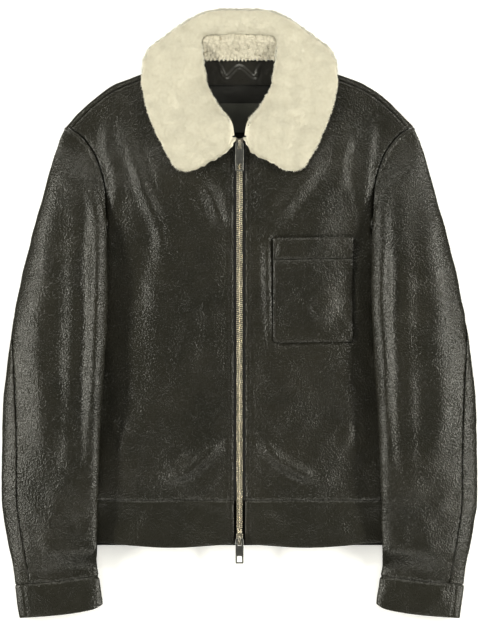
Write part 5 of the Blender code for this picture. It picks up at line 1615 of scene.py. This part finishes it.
def slider(name, node, hinge_y, wide_end):
    """Two wing plates joined down the middle and at the sides, and the strap that the pull hangs on."""
    level = float(front_height(0.0, hinge_y))
    half = curve(WING, 5)
    outline = [(x, wide_end * y) for x, y in half] + [(-x, wide_end * y) for x, y in half[::-1][1:]]
    parts = []
    for middle in (SLIDER_RISE - PLATE / 2, SLIDER_FOOT + PLATE / 2):
        points, faces = plate_mesh(name, [outline], PLATE, 0.0003)
        parts.append((points + (0.0, hinge_y, level + middle), faces))
    for side in (LEFT, RIGHT):
        wall = []
        for y, out in SLIDER_WALL:
            wall.append([(side * out + x, hinge_y + wide_end * y, level + z)
                         for x, z in bevelled(0.0005, -0.0010, SLIDER_RISE - 0.0006, 0.0001)])
        parts.append(loft(wall))
    core = [[(x, hinge_y + wide_end * y, level + z) for x, z in bevelled(wide, -0.0012, SLIDER_RISE - 0.0004, 0.0002)]
            for y, wide in SLIDER_WEDGE]
    parts.append(loft(core))
    height = hinge_height(hinge_y) - level
    route = [(0.0062, SLIDER_RISE - 0.0008), (0.0058, SLIDER_RISE + 0.0004), (0.0040, height + 0.0019),
             (0.0015, height + 0.0024), (-0.0015, height + 0.0024), (-0.0034, height + 0.0018),
             (-0.0046, SLIDER_RISE + 0.0006), (-0.0058, SLIDER_RISE - 0.0002), (-0.0078, SLIDER_RISE - 0.0003)]
    route = curve(route, 4)
    heading = unit(np.gradient(route, axis=0))
    sections = []
    for (y, z), (run_y, run_z), share in zip(route, heading, np.linspace(0.0, 1.0, len(route))):
        wide = STRAP_HALF_WIDTH * (1.0 + 0.25 * smooth((share - 0.86) / 0.05))
        sections.append([(x, hinge_y + y - run_z * t, level + z + run_y * t)
                         for x, t in bevelled(wide, -0.0006, 0.0006, 0.00022)])
    parts.append(loft(sections))
    mesh_facing_out(gathered(name, parts, [CROWN_LOOK], "garment", node))


PULL_HALF_WIDTH = 0.0055
PULL_THICKNESS = 0.0018
PULL_BAR = 0.0011
PULL_SLOT_HALF_WIDTH = 0.0027
PULL_SLOT_END = 0.0085
WINDOW_HALF_WIDTH = 0.0032
WINDOW_LENGTH = 0.0080
WINDOW_END = 0.0022
PULL_CORNER = 0.0019
PULL_LENGTHS = {"top": 0.0387, "bottom": 0.0340}


def pull(which, hinge_y):
    """The pull tab: a rounded plate with a slot for the strap and a window near its end."""
    end = PULL_BAR - PULL_LENGTHS[which]
    frame_line = rounded_box((-PULL_HALF_WIDTH, PULL_HALF_WIDTH), (end, PULL_BAR), PULL_CORNER)
    slot = rounded_box((-PULL_SLOT_HALF_WIDTH, PULL_SLOT_HALF_WIDTH), (-PULL_SLOT_END, -PULL_BAR), 0.0008)
    window = rounded_box((-WINDOW_HALF_WIDTH, WINDOW_HALF_WIDTH),
                         (end + WINDOW_END, end + WINDOW_END + WINDOW_LENGTH), 0.0008)
    parts = [plate_mesh("pull", [frame_line, slot, window], PULL_THICKNESS, 0.0004)]
    piece = gathered(f"pull_{which}_metal", parts, [DARK_METAL_LOOK], f"{which}_pull", f"pull_{which}")
    piece.data.transform(Matrix.Translation((0.0, hinge_y, hinge_height(hinge_y))))
    mesh_facing_out(piece)


# ---------------------------------------------------------------- the room

FLOOR_SIZE = 9.0
CAMERA_DISTANCE = 12.0
SENSOR = 24.0


def floor():
    made, tree, shader = nodes_of("floor_paper")
    tree.links.new(ramp(tree, noise_of(tree, place_of(tree), 3.0), [(0.3, 0.93), (0.7, 0.95)]),
                   shader.inputs["Base Color"])
    shader.inputs["Roughness"].default_value = 0.9
    shader.inputs["Emission Color"].default_value = (1.0, 1.0, 1.0, 1.0)
    shader.inputs["Emission Strength"].default_value = 0.25
    half = FLOOR_SIZE / 2
    corners = [(-half, -half, -0.0001), (half, -half, -0.0001), (half, half, -0.0001), (-half, half, -0.0001)]
    sheet = make_object("floor", corners, [(0, 1, 2, 3)], [made], soft=False)
    sheet.visible_glossy = False


def softbox(name, place, aim, size, power):
    light = bpy.data.lights.new(name, "AREA")
    light.shape = "RECTANGLE"
    light.size, light.size_y = size
    light.energy = power
    light.color = (1.0, 0.98, 0.87)
    lamp = bpy.data.objects.new(name, light)
    lamp.location = place
    lamp.rotation_euler = (Vector(aim) - Vector(place)).to_track_quat("-Z", "Y").to_euler()
    bpy.context.scene.collection.objects.link(lamp)


def room():
    floor()
    softbox("softbox_left", (-2.6, 0.15, 1.35), (-0.05, 0.0, 0.0), (2.4, 0.30), 108.0)
    softbox("softbox_right", (2.6, 0.15, 1.35), (0.05, 0.0, 0.0), (2.4, 0.30), 108.0)
    softbox("softbox_top", (0.0, 2.9, 1.9), (0.0, 0.1, 0.0), (2.4, 0.4), 58.0)
    softbox("softbox_low", (0.0, -2.7, 2.0), (0.0, 0.0, 0.0), (2.0, 0.4), 44.0)
    world = bpy.data.worlds.new("room")
    world.use_nodes = True
    world.node_tree.nodes["Background"].inputs["Color"].default_value = (1.0, 0.99, 0.97, 1.0)
    world.node_tree.nodes["Background"].inputs["Strength"].default_value = 0.10
    bpy.context.scene.world = world
    bpy.context.scene.view_settings.view_transform = "Standard"
    bpy.context.scene.view_settings.look = "None"


def camera():
    data = bpy.data.cameras.new("camera")
    data.sensor_fit = "VERTICAL"
    data.sensor_height = SENSOR
    data.lens = SENSOR * CAMERA_DISTANCE / (PICTURE[1] * PIXEL)
    data.clip_end = 100.0
    made = bpy.data.objects.new("camera", data)
    made.location = ((PICTURE[0] / 2 - CENTRE_PIXEL[0]) * PIXEL, (CENTRE_PIXEL[1] - PICTURE[1] / 2) * PIXEL,
                     CAMERA_DISTANCE)
    bpy.context.scene.collection.objects.link(made)
    bpy.context.scene.camera = made


def main():
    rows = []
    for side in (LEFT, RIGHT):
        rows += front_shell(side)
        sleeve_shells(side)
        cuff_shell(side)
    rows += back_and_hems()
    rows += pocket()
    neck_inside()
    collar()
    collar_stand()
    zip_tapes()
    zip_chain()
    slider("slider_top_metal", "slider_top", HINGE_TOP_Y, 1)
    slider("slider_bottom_metal", "slider_bottom", HINGE_BOTTOM_Y, -1)
    pull("top", HINGE_TOP_Y)
    pull("bottom", HINGE_BOTTOM_Y)
    stitches("topstitching", rows, THREAD_LOOK)
    room()
    camera()


main()
